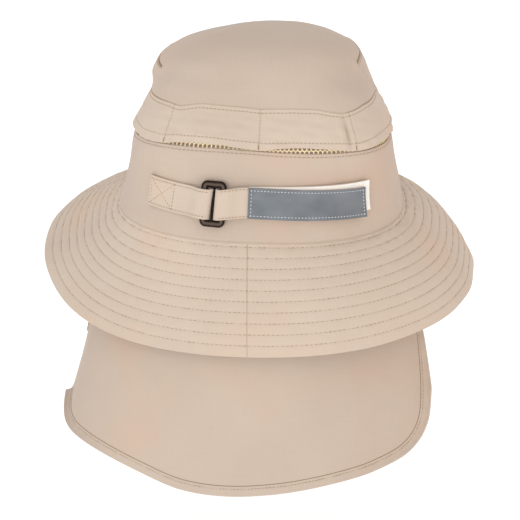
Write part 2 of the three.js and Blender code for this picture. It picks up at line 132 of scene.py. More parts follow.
def crown_offset(level, azimuth, offset):
    """The crown's outer face pushed out by an offset."""
    level, azimuth, offset = np.broadcast_arrays(level, azimuth, offset)
    return crown_point(level, azimuth) + crown_normal(level, azimuth) * offset[..., None]


LEVEL_STEPS = np.linspace(0, PEAK, 1601)
LEVEL_HEIGHTS = table_row(CROWN_SECTIONS, LEVEL_STEPS)[:, 0] * CROWN_HEIGHT
FOOT_HEIGHT = CROWN_SECTIONS[NET_FOOT][0] * CROWN_HEIGHT
HEAD_HEIGHT = CROWN_SECTIONS[NET_HEAD][0] * CROWN_HEIGHT


def level_at(height):
    """The level at a height above the brim seam."""
    return np.interp(height, LEVEL_HEIGHTS, LEVEL_STEPS)


def noise(points, scale, seed):
    """Smooth noise from a few crossed sine waves, about -1 to 1, the same on each run."""
    random = np.random.default_rng(seed)
    total = np.zeros(points.shape[:-1])
    for _ in range(7):
        direction = unit(random.normal(size=3)) * random.uniform(0.6, 1.5)
        total += np.sin(points @ direction * (2 * math.pi / scale) + random.uniform(0, 2 * math.pi))
    return total / 3.2


def grid_normals(grid, around):
    """Outward normals of a grid of points, rows up and columns to the right seen from outside."""
    if around:
        along_columns = np.roll(grid, -1, 1) - np.roll(grid, 1, 1)
    else:
        along_columns = np.gradient(grid, axis=1)
    return unit(np.cross(along_columns, np.gradient(grid, axis=0)))


def cut_coordinates(face, around):
    """Where each point of a sheet lies on the flat cloth that it was cut from, as part of a ring."""
    closed = np.concatenate([face, face[:, :1]], 1) if around else face
    steps = np.linalg.norm(np.diff(closed, axis=1), axis=-1)
    widths = steps.sum(1)
    depths = np.linalg.norm(np.diff(face, axis=0), axis=-1).mean(1)
    down = np.concatenate([[0], depths.cumsum()])
    fan = (widths[-1] - widths[0]) / max(down[-1], 1e-6)
    fan = math.copysign(max(abs(fan), 0.01), fan)
    share = np.concatenate([[0], steps.mean(0).cumsum()]) / steps.mean(0).sum()
    turn = (share - 0.5) * fan
    radius = (widths[0] / fan + down)[:, None]
    return np.stack([radius * np.sin(turn), radius * np.cos(turn) - widths[0] / fan], -1)


def mesh_from_arrays(name, points, quads):
    """A smooth mesh from points in millimetres and four-cornered faces."""
    mesh = bpy.data.meshes.new(name)
    mesh.vertices.add(len(points))
    mesh.vertices.foreach_set("co", (points * MM).astype(np.float32).ravel())
    mesh.loops.add(quads.size)
    mesh.loops.foreach_set("vertex_index", quads.astype(np.int32).ravel())
    mesh.polygons.add(len(quads))
    mesh.polygons.foreach_set("loop_start", np.arange(0, quads.size, 4, dtype=np.int32))
    mesh.polygons.foreach_set("use_smooth", np.ones(len(quads), bool))
    mesh.update(calc_edges=True)
    return mesh


def grid_corners(rows, spans, count, turned=False):
    """Row and column numbers of the corners of a grid's faces, its rows closed after a count."""
    r, c = np.meshgrid(rows, np.arange(spans), indexing="ij")
    above = (r + 1) % count
    corners = [(r, c), (r, c + 1), (above, c + 1), (above, c)]
    return corners[::-1] if turned else corners


def corner_quads(corners, columns):
    """Point numbers of the faces of a grid, its columns closed after the last."""
    return np.stack([r * columns + c % columns for r, c in corners], -1).reshape(-1, 4)


def new_object(name, data):
    """A new object in the scene."""
    added = bpy.data.objects.new(name, data)
    bpy.context.scene.collection.objects.link(added)
    return added


def new_piece(name, mesh, material, slot, *nodes):
    """A piece of the cap with its material, standing for the nodes named. The slot is not used."""
    piece = new_object(name, mesh)
    mesh.materials.clear()
    mesh.materials.append(material)
    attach(piece, "root")
    if nodes:
        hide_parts(*nodes)
    return piece


def add_values(mesh, name, values, kind="FLOAT", key="value"):
    """Gives each point of a mesh its value of a named attribute."""
    mesh.attributes.new(name, kind, "POINT").data.foreach_set(key, values.astype(np.float32).ravel())


EDGE_EASE = 0.28  # room for the rim at an edge, in thicknesses of the cloth
RIM_TURNS = np.radians([-60, -20, 20, 60])  # directions of the points of a rim


def cloth_piece(name, face, thickness, material, node, slot="cloth", around=True, relief=0.0, painted_crease_shade=0.0,
                rows_down=False, tip=False):
    """A piece of cloth with rounded edges from the grid of its outer face, standing for a node. Relief
    pushes both faces apart, the crease values paint shade into the material's colour in seams, grooves and
    creases, and tip says that the last row is one point."""
    rows, columns = face.shape[:2]
    relief = np.zeros((rows, columns)) + relief
    painted_crease_shade = np.clip(np.zeros((rows, columns)) + painted_crease_shade, 0, 1)
    ease = EDGE_EASE * thickness
    first, last = unit(face[0] - face[1]), unit(face[-1] - face[-2])
    given, face = face, face.copy()
    for row, away in ((0, first), (-1, last))[: 1 if tip else 2]:
        distance = np.linalg.norm(given - given[row], axis=-1, keepdims=True)
        face -= away * ease * np.clip(1 - distance / (3 * ease), 0, 1)
    normal = grid_normals(face, around) * (-1 if rows_down else 1)
    if tip:
        face[-1] = face[-1].mean(0)
        normal[-1] = unit(normal[-3].mean(0))
    outer = face + normal * relief[..., None]
    inner = face - normal * (thickness + relief)[..., None]

    def rim(row, away):
        """The rounded edge between the two faces, from the outer one to the inner one."""
        half = (inner[row] - outer[row]) / 2
        return [outer[row] + half + half * np.sin(t) + away * ease * np.cos(t) for t in RIM_TURNS]

    end_rim = [] if tip else rim(-1, last)
    ring = np.array([*outer, *end_rim, *inner[::-1], *rim(0, first)[::-1]])
    count, extra, rim_rows = len(ring), len(end_rim), len(RIM_TURNS)
    shade, cut = (
        np.array([*values, *[values[-1]] * extra, *values[::-1], *[values[0]] * rim_rows])
        for values in (painted_crease_shade, cut_coordinates(face, around))
    )
    ring_rows = [row for row in range(count) if not (tip and row == rows - 1)]
    corners = grid_corners(ring_rows, columns if around else columns - 1, count, rows_down)
    quads = corner_quads(corners, columns)
    flat = np.stack([cut[r, c] for r, c in corners], 2).reshape(-1, 2)
    if not around:
        last_inner = 2 * rows + rim_rows - 1
        front = np.arange(rows - 1)
        back = last_inner - front
        sides = np.stack([front, front + 1, back - 1, back], -1)
        starts = np.array([[rows - 1], [last_inner]])
        ends, middles = ((starts + steps) % count for steps in ([0, 1, 4, 5], [1, 2, 3, 4]))
        cap_rows = np.concatenate([sides, ends, middles])
        for column in (0, columns - 1):
            turned = cap_rows if (column == 0) == rows_down else cap_rows[:, ::-1]
            quads = np.concatenate([quads, turned * columns + column])
            flat = np.concatenate([flat, cut[turned.ravel(), column]])
    mesh = mesh_from_arrays(name, ring.reshape(-1, 3), quads)
    layer = mesh.uv_layers.new(name="Cut")
    layer.data.foreach_set("uv", (flat * MM).astype(np.float32).ravel())
    add_values(mesh, "painted_crease_shade", shade)
    if tip:
        work = bmesh.new()
        work.from_mesh(mesh)
        bmesh.ops.remove_doubles(work, verts=work.verts, dist=1e-7)
        work.to_mesh(mesh)
        work.free()
    return new_piece(name, mesh, material, slot, node)


# Cloth shares one group: a fine plain weave on the cut's own coordinates, faint yarn streaks, and
# blotches where the dye took a little more or less.
THREADS_PER_METRE = 2600.0
ALONG_YARN, ACROSS_YARN = 60.0, 900.0  # how fine the streaks are


def set_inputs(tree, node, values):
    """Sets a node's inputs, by name or number, to values, sockets or the first outputs of nodes."""
    for key, value in values.items():
        if isinstance(value, bpy.types.Node):
            value = value.outputs[0]
        if isinstance(value, bpy.types.NodeSocket):
            tree.links.new(value, node.inputs[key])
        else:
            node.inputs[key].default_value = value


def add_node(tree, kind, values=None, **settings):
    """A new node with its settings and inputs."""
    node = tree.nodes.new(kind)
    for key, value in settings.items():
        setattr(node, key, value)
    set_inputs(tree, node, values or {})
    return node


def maths(tree, operation, *inputs):
    """A maths node with sockets, nodes or numbers as its inputs."""
    return add_node(tree, "ShaderNodeMath", dict(enumerate(inputs)), operation=operation)


def object_place(tree):
    """Where a point of the surface lies in its piece."""
    return add_node(tree, "ShaderNodeTexCoord").outputs["Object"]


def noise_texture(tree, vector, scale, detail=2.0, stretch=None):
    """A noise texture, stretched along the axes if asked."""
    if stretch:
        vector = add_node(tree, "ShaderNodeMapping", {"Vector": vector, "Scale": stretch})
    return add_node(tree, "ShaderNodeTexNoise", {"Vector": vector, "Scale": scale, "Detail": detail})


def mix_colour(tree, factor, first, second):
    """The output of a colour mix, with sockets or colours as its inputs."""
    values = {"Factor": factor, 6: first, 7: second}
    return add_node(tree, "ShaderNodeMix", values, data_type="RGBA").outputs[2]


def new_group(name, kind, inputs, outputs):
    """A node group and its inputs. Both sets of sockets are given by name with their types."""
    tree = bpy.data.node_groups.new(name, kind + "NodeTree")
    for direction, sockets in (("INPUT", inputs), ("OUTPUT", outputs)):
        for socket, socket_type in sockets.items():
            tree.interface.new_socket(socket, in_out=direction, socket_type="NodeSocket" + socket_type)
    return tree, add_node(tree, "NodeGroupInput").outputs


WEAVE, given = new_group("Plain weave", "Shader", {"Threads per metre": "Float"},
                         dict.fromkeys(("Height", "Streaks", "Blotches", "Warmth"), "Float"))
cut_place = add_node(WEAVE, "ShaderNodeUVMap", uv_map="Cut")
parts = add_node(WEAVE, "ShaderNodeSeparateXYZ", {0: cut_place})
yarns = [maths(WEAVE, "MULTIPLY", part, given[0]) for part in parts.outputs[:2]]
waves = [maths(WEAVE, "SINE", maths(WEAVE, "MULTIPLY", yarn, math.pi)) for yarn in yarns]
rounds = maths(WEAVE, "MULTIPLY", *[maths(WEAVE, "PINGPONG", yarn, 1.0) for yarn in yarns])
streaks = [noise_texture(WEAVE, cut_place, 1.0, 3.0, stretch)
           for stretch in ((ALONG_YARN, ACROSS_YARN, 1.0), (ACROSS_YARN, ALONG_YARN, 1.0))]
place = object_place(WEAVE)
add_node(WEAVE, "NodeGroupOutput", {
    "Height": maths(WEAVE, "MULTIPLY_ADD", maths(WEAVE, "MULTIPLY", *waves), 0.5, rounds),
    "Streaks": maths(WEAVE, "MULTIPLY", maths(WEAVE, "ADD", *streaks), 0.5),
    "Blotches": noise_texture(WEAVE, place, 15.0, 2.5),
    "Warmth": noise_texture(WEAVE, place, 11.0, 3.0, (1.0, 1.0, 1.6)),
})


def srgb(red, green, blue):
    """A colour as seen on a screen, 0 to 255, in the shader's values."""
    shares = [value / 255 for value in (red, green, blue)]
    return [v / 12.92 if v <= 0.04045 else ((v + 0.055) / 1.055) ** 2.4 for v in shares] + [1.0]


def new_material(name):
    """A material with its node tree and shader."""
    material = bpy.data.materials.new(name)
    material.use_nodes = True
    return material, material.node_tree, material.node_tree.nodes["Principled BSDF"]


def cloth_material(name, light, dark, seam):
    """Woven cloth between two tones, in places a little warmer, with painted shade towards a seam colour
    where it dips into a seam, groove or crease.
    """
    light, dark, seam = (srgb(*tone) for tone in (light, dark, seam))
    material, tree, shader = new_material(name)
    fineness = {"Threads per metre": THREADS_PER_METRE}
    weave = add_node(tree, "ShaderNodeGroup", fineness, node_tree=WEAVE).outputs
    blotches = maths(tree, "MULTIPLY", weave["Blotches"], 0.6)
    blend = maths(tree, "MULTIPLY_ADD", weave["Streaks"], 0.4, blotches)
    spread = add_node(tree, "ShaderNodeMapRange", {"Value": blend, "From Min": 0.32, "From Max": 0.68})
    warmth = add_node(tree, "ShaderNodeMapRange",
                      {"Value": weave["Warmth"], "From Min": 0.5, "From Max": 0.7, "To Max": 0.7})
    warm = [share * tint for share, tint in zip(light, (1.02, 0.9, 0.82, 1.0))]
    tone = mix_colour(tree, warmth, mix_colour(tree, spread, dark, light), warm)
    # Painted shade: the crease attribute mixes the tone towards the seam colour in seams, grooves and
    # creases.
    painted_crease_shade = add_node(tree, "ShaderNodeAttribute", attribute_name="painted_crease_shade").outputs["Fac"]
    dents = {"Strength": 0.2, "Distance": 0.0001, "Height": weave["Height"]}
    bump = add_node(tree, "ShaderNodeBump", dents)
    set_inputs(tree, shader, {"Base Color": mix_colour(tree, painted_crease_shade, tone, seam), "Normal": bump,
                              "Roughness": 0.85, "Sheen Weight": 0.08, "Sheen Roughness": 0.5,
                              "Specular IOR Level": 0.25})
    return material


def yarn_material(name, *tone, roughness=0.75, sheen=0.1):
    """Thread and other yarn, a little uneven in tone."""
    material, tree, shader = new_material(name)
    grain = noise_texture(tree, object_place(tree), 1500.0)
    tones = [srgb(*(value * share for value in tone)) for share in (0.9, 1.06)]
    set_inputs(tree, shader, {"Base Color": mix_colour(tree, grain, *tones), "Roughness": roughness,
                              "Sheen Weight": sheen, "Specular IOR Level": 0.25})
    return material


# The third colour of each cloth is the painted shade of its seams, grooves and creases.
KHAKI = cloth_material("Khaki poplin", (188, 172, 157), (181, 163, 148), (120, 97, 66))
THREAD = yarn_material("Khaki thread", 146, 121, 91)

# Stitches are laid by one geometry tree: a bead of thread at every pitch along a line, turned along
# the line and seated by the outward direction kept on it.
STITCHES, given = new_group(
    "Stitch row", "Geometry",
    {"Geometry": "Geometry", "Pitch": "Float", "Length": "Float", "Width": "Float", "Thread": "Material"},
    {"Geometry": "Geometry"})
bead = add_node(STITCHES, "GeometryNodeMeshUVSphere", {"Segments": 6, "Rings": 4, "Radius": 0.5})
sizes = {0: given["Length"], 1: given["Width"], 2: given["Width"]}
scale = add_node(STITCHES, "ShaderNodeCombineXYZ", sizes)
shape = add_node(STITCHES, "GeometryNodeTransform", {0: bead, "Scale": scale})
smooth = add_node(STITCHES, "GeometryNodeSetShadeSmooth", {0: shape})
curve = add_node(STITCHES, "GeometryNodeMeshToCurve", {0: given[0]})
even = add_node(STITCHES, "GeometryNodeResampleCurve", {0: curve, "Length": given["Pitch"]}, mode="LENGTH")
forward = add_node(STITCHES, "FunctionNodeAlignRotationToVector",
                   {"Vector": add_node(STITCHES, "GeometryNodeInputTangent")}, axis="X")
out = add_node(STITCHES, "GeometryNodeInputNamedAttribute", {"Name": "out"}, data_type="FLOAT_VECTOR")
upward = add_node(STITCHES, "FunctionNodeAlignRotationToVector", {"Rotation": forward, "Vector": out},
                  axis="Z", pivot_axis="X")
lay = add_node(STITCHES, "GeometryNodeInstanceOnPoints", {0: even, "Instance": smooth, "Rotation": upward})
real = add_node(STITCHES, "GeometryNodeRealizeInstances", {0: lay})
finish = add_node(STITCHES, "GeometryNodeSetMaterial", {0: real, "Material": given["Thread"]})
add_node(STITCHES, "NodeGroupOutput", {0: finish})


def grow(name, mesh, tree, material, slot, *nodes, **sizes):
    """A piece that a geometry tree makes from a mesh of lines, baked to a plain mesh."""
    holder = new_object(name + "_lines", mesh)
    modifier = holder.modifiers.new(tree.name, "NODES")
    modifier.node_group = tree
    for item in tree.interface.items_tree:
        if item.in_out == "INPUT" and item.name in sizes:
            modifier[item.identifier] = sizes[item.name] * MM
        elif item.in_out == "INPUT" and item.socket_type == "NodeSocketMaterial":
            modifier[item.identifier] = material
    evaluated = holder.evaluated_get(bpy.context.evaluated_depsgraph_get())
    baked = bpy.data.meshes.new_from_object(evaluated)
    bpy.data.objects.remove(holder)
    baked.name = name
    return new_piece(name, baked, material, slot, *nodes)


def sew(name, lines, slot="cloth", thread=THREAD, pitch=2.6, length=1.75, width=0.34):
    """Rows of stitches. Each line is its points and their outward directions."""
    points = np.concatenate([line for line, _ in lines])
    edges, start = [], 0
    for line, _ in lines:
        edges += [(start + i, start + i + 1) for i in range(len(line) - 1)]
        start += len(line)
    mesh = bpy.data.meshes.new(name)
    mesh.from_pydata((points * MM).tolist(), edges, [])
    add_values(mesh, "out", np.concatenate([out for _, out in lines]), "FLOAT_VECTOR", "vector")
    return grow(name, mesh, STITCHES, thread, slot, Pitch=pitch, Length=length, Width=width)


def round_line(table, azimuth):
    """Heights from a table of azimuths, with its corners softened."""
    fine = np.linspace(-200, 200, 1601)
    rough = np.interp((fine + 180) % 360 - 180, *zip(*table))
    kernel = np.hanning(17)
    return np.interp(azimuth, fine, np.convolve(rough, kernel / kernel.sum(), "same"))


def lower_crown_face(height, azimuth):
    """The lower crown's outer face with its soft wrinkles, down to the seam allowance."""
    rise = round_line(EDGE_LINE, azimuth) * smooth_step(0, FOOT_HEIGHT, height)
    level = level_at(np.maximum(height, 0) + rise)
    place = crown_point(level, azimuth)
    free = smooth_step(0, 10, height) * smooth_step(0, 9, FOOT_HEIGHT - height)
    soft = 0.5 * noise(place * [1, 1, 1.5], 48, 3) + 0.16 * noise(place * [1.6, 1.6, 0.6], 21, 4)
    face = crown_offset(level, azimuth, soft * free)
    face[..., 2] += np.minimum(height, 0)
    return face


def spaced(start, *stops):
    """Numbers from a start to each stop in turn, which is given with how many steps lead to it."""
    pieces = [[start]]
    for stop, count in stops:
        pieces.append(np.linspace(pieces[-1][-1], stop, count + 1)[1:])
    return np.concatenate(pieces)


def all_round(count):
    """So many azimuths at even steps, all round."""
    return np.linspace(-180, 180, count, endpoint=False)


ROUND = np.linspace(-180, 180, 721)
THREAD_SINK = 0.05  # how deep a thread sinks into the cloth
heights = spaced(-SEAM_ALLOWANCE, (0, 3), (2, 6), (FOOT_HEIGHT - 4, 34), (FOOT_HEIGHT, 14))
height, azimuth = np.meshgrid(heights, all_round(400), indexing="ij")
row = FOOT_HEIGHT - TOPSTITCH_INSET
# Painted shade: the colour darkens at the brim seam and along the stitch row.
cloth_piece("crown_lower_cloth", lower_crown_face(height, azimuth), CROWN_CLOTH, KHAKI, "lower_crown",
            relief=-0.1 * bell(height - row, 0.5) - 0.12 * bell(height, 0.7),
            painted_crease_shade=0.22 * bell(height, 0.4) + 0.14 * bell(height - row, 0.45))
line = lower_crown_face(np.full(ROUND.shape, row), ROUND)
out = crown_normal(level_at(row), ROUND)
sew("crown_lower_stitching", [(line - out * THREAD_SINK, out)])

# Upper crown
# One piece of the same cloth over the top of the head. A dart on each shoulder takes in its fullness,
# and its lower edge is turned in over the head of the vent flap.
SEAM_LINE = [  # azimuth, and how far the seam to the flap rises over its mean height
    (-180, 0), (-110, 0), (-80, 0.3), (-55, -0.6), (-42, -1.3), (-36, -2.4), (-30, -0.6), (-26, 0.2),
    (-9, -0.5), (1, -1.2), (17, -0.3), (27, -0.4), (33, -2.0), (38, -3.0), (44, -1.8), (51, 0.2),
    (60, 1.0), (70, 1.5), (85, 0.8), (110, 0), (180, 0)]
LEFT_DART = [(5.3, -90), (4.86, -75.1), (4.70, -69.9), (4.45, -58)]
RIGHT_DART = [(5.42, 90), (4.94, 78.6), (4.75, 70), (4.58, 62.4)]
SHOULDER_FOLD = [(4.58, 62.4), (4.15, 67), (3.72, 74.3), (3.4, 80), (3.13, 84.6)]


def crown_path(table, count=40):
    """Levels and azimuths at even steps along a line on the crown."""
    return table_row(table, np.linspace(0, len(table) - 1, count)).T


def near_path(points, table, width):
    """1 on a line of the crown and falling to 0 within a few widths of it."""
    line = crown_point(*crown_path(table))
    flat = points.reshape(-1, 3)
    close = np.all((flat > line.min(0) - 4 * width) & (flat < line.max(0) + 4 * width), axis=1)
    best = np.full(len(flat), 1e9)
    for start, end in zip(line[:-1], line[1:]):
        span = end - start
        share = np.clip((flat[close] - start) @ span / (span @ span), 0, 1)
        distance = np.linalg.norm(flat[close] - start - share[:, None] * span, axis=1)
        best[close] = np.minimum(best[close], distance)
    return bell(best, width).reshape(points.shape[:-1])


def upper_crown_face(level, azimuth):
    """The upper crown's outer face, with its darts, the fold on the right shoulder and soft wrinkles."""
    place = crown_point(level, azimuth)
    rise = (level - NET_HEAD) / (PEAK - NET_HEAD)
    soft = 0.7 * noise(place * [1, 1, 1.4], 64, 11) + 0.2 * noise(place * [1, 1, 1.6], 25, 12)
    push = soft * smooth_step(0.02, 0.25, rise)
    for dart in (LEFT_DART, RIGHT_DART):
        push = push - 1.2 * near_path(place, dart, 0.8) + 0.8 * near_path(place, dart, 4.5)
    push = push + 1.0 * near_path(place, SHOULDER_FOLD, 2.6)
    push = push - 0.5 * near_path(place - [0, 0, 2.5], SHOULDER_FOLD, 2.4)  # a hollow above the fold
    return crown_offset(level, azimuth, push)


shares = spaced(0, (0.03, 12), (0.93, 96), (1, 8))
columns = spaced(-180, (-92, 60), (-56, 90), (60, 80), (92, 90), (180, 60))[:-1]  # closer at the darts
share, azimuth = np.meshgrid(shares, columns, indexing="ij")
start = level_at(HEAD_HEIGHT - 0.35 + round_line(SEAM_LINE, azimuth))  # a little inside the flap
level = start + (PEAK - start) * share
above_seam = np.interp(level, LEVEL_STEPS, LEVEL_HEIGHTS) - np.interp(start, LEVEL_STEPS, LEVEL_HEIGHTS)
seam = bell(above_seam - 0.4, 0.3)
# Painted shade: the colour darkens along the seam under the flap, more towards the sides, and along the
# darts.
painted_dart_shade = sum(near_path(crown_point(level, azimuth), dart, 0.65) for dart in (LEFT_DART, RIGHT_DART))
cloth_piece("crown_top_cloth", upper_crown_face(level, azimuth), CROWN_CLOTH, KHAKI, "upper_crown",
            relief=-0.08 * seam, tip=True,
            painted_crease_shade=(0.3 + 0.5 * smooth_step(30, 70, np.abs(azimuth))) * seam + painted_dart_shade)
rows = []
for table, aside in ((LEFT_DART, -0.12), (RIGHT_DART, -0.12), (SHOULDER_FOLD[2:], 0.05)):
    path_level, path_azimuth = crown_path(table)
    out = crown_normal(path_level + aside, path_azimuth)
    rows.append((upper_crown_face(path_level + aside, path_azimuth) - out * 0.04, out))
sew("crown_dart_stitching", rows, pitch=2.2, length=1.5, width=0.32)

# Vent net
# A band of knitted honey-coloured net that lets air through between the two halves of the crown. The
# strands are real, round six-sided holes, and the flap hangs over them.
NET_PITCH = 2.7
NET_ROW = 2.35
NET_STRAND = 0.85
NET_DEPTH = 1.3
NET = yarn_material("Honey net", 244, 225, 184, sheen=0.15)

STRANDS, given = new_group("Net strands", "Geometry",
                           {"Geometry": "Geometry", "Strand": "Float", "Yarn": "Material"},
                           {"Geometry": "Geometry"})
section = add_node(STRANDS, "GeometryNodeCurvePrimitiveCircle",
                   {"Resolution": 5, "Radius": maths(STRANDS, "MULTIPLY", given["Strand"], 0.5)})
curve = add_node(STRANDS, "GeometryNodeMeshToCurve", {0: given[0]})
sweep = add_node(STRANDS, "GeometryNodeCurveToMesh",
                 {0: curve, "Profile Curve": section, "Fill Caps": True})
smooth = add_node(STRANDS, "GeometryNodeSetShadeSmooth", {0: sweep})
real = add_node(STRANDS, "GeometryNodeRealizeInstances", {0: smooth})
finish = add_node(STRANDS, "GeometryNodeSetMaterial", {0: real, "Material": given["Yarn"]})
add_node(STRANDS, "NodeGroupOutput", {0: finish})

KNIT_STEP = 0.36  # how far every other knot is raised, in rows
cells = round(run_along(crown_point(2.4, ROUND))[-1] / NET_PITCH)
net_rows = round((HEAD_HEIGHT - FOOT_HEIGHT) / NET_ROW)
points, edges = [], []
for knit_row in range(net_rows + 1):
    for step in range(2 * cells):
        low = (step + knit_row) % 2
        points.append((knit_row + (0.0 if low else KNIT_STEP), step / 2))
        here = knit_row * 2 * cells + step
        edges.append((here, knit_row * 2 * cells + (step + 1) % (2 * cells)))
        if not low and knit_row < net_rows:
            edges.append((here, here + 2 * cells))
points = np.array(points)
net_height = FOOT_HEIGHT - 1.6 + points[:, 0] * (HEAD_HEIGHT - FOOT_HEIGHT + 1.2) / (net_rows + KNIT_STEP)
knots = crown_offset(level_at(net_height), -180 + 360 * points[:, 1] / cells, -NET_DEPTH)
mesh = bpy.data.meshes.new("vent_net_lines")
mesh.from_pydata((knots * MM).tolist(), edges, [])
grow("vent_net_knit", mesh, STRANDS, NET, "net", "vent_net", Strand=NET_STRAND)

# Vent flap
# A strip of the khaki cloth sewn in under the upper crown, with a turned hem. Nine lines of stitching
# tack it down over the net, and it lifts a little between them.
FLAP_CLOTH = 1.0
FLAP_ALLOWANCE = 2.4
FLAP_TOP_ROW = 2.1
TACKS = 9
FIRST_TACK = 1.0
MM_PER_DEGREE = 1.42  # round the crown, at the vent
CREASE_AZIMUTH = 38.4  # of the sharp fold at the right
# Painted light: a lighter copy of the same khaki for the flap, brim and straps, because these parts look
# brighter in the light.
LIT_KHAKI = cloth_material("Khaki poplin painted lighter", (196, 180, 164), (188, 171, 155), (128, 99, 68))
HEM_LINE = [  # azimuth, and how far the hem hangs above the edge of the lower crown
    (-180, 2.6), (-161, 0.2), (-140, 2.6), (-119, 0.2), (-100, 2.6), (-88, 1.8), (-79, 1.6), (-70, 3.6),
    (-62, 3.2), (-52, 1.4), (-44, 1.2), (-38, 1.6), (-34, 2.8), (-28, 3.5), (-21, 3.5), (-14, 2.9),
    (-9, 2.0), (-4, 1.4), (1, 0.6), (5, 0.9), (9, 1.9), (15, 2.5), (21, 2.5), (28, 1.9), (34, 0.8),
    (38, 0.0), (42, -0.3), (48, 0.2), (54, 1.4), (62, 2.7), (70, 2.9), (78, 1.4), (88, 1.2), (100, 2.6),
    (121, 0.2), (140, 2.6), (161, 0.2), (180, 2.6)]
HEM_ROW_LINE = [  # azimuth, and how far the hem's stitch row lies above the hem
    (-180, 4.4), (-75, 4.6), (-45, 5.0), (-36, 4.4), (-28, 3.5), (-13, 3.4), (1, 4.3), (10, 3.0),
    (20, 2.8), (28, 3.3), (36, 4.2), (42, 4.4), (48, 5.0), (56, 5.4), (68, 5.0), (85, 4.4), (180, 4.4)]


def tack_distance(azimuth):
    """Distance to the nearest tack, round the crown."""
    step = 360 / TACKS
    return ((azimuth - FIRST_TACK + step / 2) % step - step / 2) * MM_PER_DEGREE


def flap_depth(azimuth):
    """The flap's depth from its seam to its hem."""
    return HEAD_HEIGHT - FOOT_HEIGHT - 0.05 + round_line(SEAM_LINE, azimuth) - round_line(HEM_LINE, azimuth)


def flap_place(above_hem, azimuth):
    """The flap's outer face at a height over its hem, up to its seam allowance."""
    below_seam = flap_depth(azimuth) - above_hem
    level = level_at(FOOT_HEIGHT + round_line(HEM_LINE, azimuth) + above_hem)
    place = crown_point(level, azimuth)
    aside = tack_distance(azimuth)
    lift = round_line(HEM_LINE, azimuth) / 3
    stand = (1.35 + 0.7 * lift) * smooth_step(0, 24, below_seam)
    free = smooth_step(0, 7, below_seam)
    billow = 0.35 * noise(place, 34, 21) + 0.16 * noise(place * [1, 1, 2.2], 11, 22)
    puff = 0.55 * (1 - bell(aside, 6.5)) * bell(below_seam - 13, 8)
    rumple = 0.45 * noise(place * [1, 1, 0.4], 8, 23) * bell(above_hem - 1, 4)
    fold = 0.9 * bell(azimuth - 35.6, 1.5) - 1.3 * bell(azimuth - CREASE_AZIMUTH, 1.0)
    fold = fold + 0.7 * bell(azimuth - 41.5, 1.8) + 0.5 * bell(azimuth + 34, 2.2)
    push = stand + billow * free + puff + rumple * free + fold * bell(below_seam - 12, 10)
    push = push - 0.35 * bell(aside, 0.8) * free
    push = push + np.interp(below_seam, [-1.2, -0.4, 0], [-1.3, -0.14, 0])  # in under the upper crown
    return crown_offset(level, azimuth, push)


def on_flap(above_hem, azimuth):
    """A line on the flap and its outward directions."""
    out = crown_normal(level_at(FOOT_HEIGHT + above_hem), azimuth)
    return flap_place(above_hem, azimuth) - out * THREAD_SINK, out


flap_azimuths = all_round(720)
full = flap_depth(flap_azimuths)
shares = spaced(0, (0.2, 14), (0.86, 20), (1, 14))
above_hem = np.concatenate([shares[:, None] * full, full + [[0.4], [FLAP_ALLOWANCE / 2], [FLAP_ALLOWANCE]]])
azimuth = np.broadcast_to(flap_azimuths, above_hem.shape)
below_seam = full - above_hem
# Painted shade: the colour darkens along the stitch rows, the tacks, the seam under the upper crown (more
# at the sides) and the sharp fold at the right.
rows = bell(above_hem - round_line(HEM_ROW_LINE, azimuth), 0.45) + bell(below_seam - FLAP_TOP_ROW, 0.45)
painted_tack_shade = bell(tack_distance(azimuth), 0.5) * (below_seam > 0)
painted_seam_shade = (0.35 + 0.6 * smooth_step(30, 55, np.abs(azimuth))) * bell(below_seam, 0.35)
painted_fold_shade = bell(azimuth - CREASE_AZIMUTH, 0.6) * bell(below_seam - 12, 8)
flap = cloth_piece("vent_flap_cloth", flap_place(above_hem, azimuth), FLAP_CLOTH, LIT_KHAKI, "vent_flap",
                   relief=-0.1 * rows, painted_crease_shade=0.12 * rows + 0.16 * painted_tack_shade + painted_seam_shade + 0.4 * painted_fold_shade)
full = flap_depth(ROUND)
rows = [on_flap(round_line(HEM_ROW_LINE, ROUND), ROUND), on_flap(full - FLAP_TOP_ROW, ROUND)]
sew("vent_flap_stitching", rows, pitch=2.3, length=1.5, width=0.32)
tack_rows, bars = [], []
for tack in range(TACKS):
    where = (FIRST_TACK + 360 / TACKS * tack + 180) % 360 - 180
    reach = np.interp(where, ROUND, full)
    tack_rows.append(on_flap(np.linspace(1.0, reach - 0.4, 30), np.full(30, where)))
    bars += [on_flap(np.linspace(0.9, 2.6, 4), np.full(4, where + side)) for side in (-0.3, 0.05)]
sew("vent_tack_stitching", tack_rows, pitch=2.0, length=1.3, width=0.32)
sew("vent_tack_bars", bars, pitch=0.7, length=1.1, width=0.5)

# Brim
# Layers of cloth over a soft interlining, quilted together by ten rows of stitching, with one seam at
# the middle of the back. It slopes down like a bell behind and at the sides, and lies flatter in front.
BRIM_WIDTH = 66.0
BRIM_CLOTH = 2.4
BRIM_SHELL = BRIM_CLOTH - 0.6  # thinner, so that its waves stay inside the solid
QUILT_ROWS = 2.3 + 6.35 * np.arange(10)
ROW_STEPS = (-1.1, -0.5, 0, 0.5, 1.1, 2.4, 3.8)  # rows of the mesh beside each row of stitches
QUILT_DEPTH = 0.26
BACK_SEAM = -2.4  # azimuth
BRIM_SLOPES = [  # degrees below level at the seam and at the edge, every 45 degrees from -135
    (10, 32), (48, 34), (70, 63), (62, 74), (36, 80), (25, 66), (4, 72), (2, 50)]


def outward(azimuth):
    """The level direction straight out from the brim seam."""
    tangent = crown_point(0, azimuth + 0.5) - crown_point(0, azimuth - 0.5)
    return unit(np.stack([tangent[..., 1], -tangent[..., 0], 0 * tangent[..., 0]], -1))


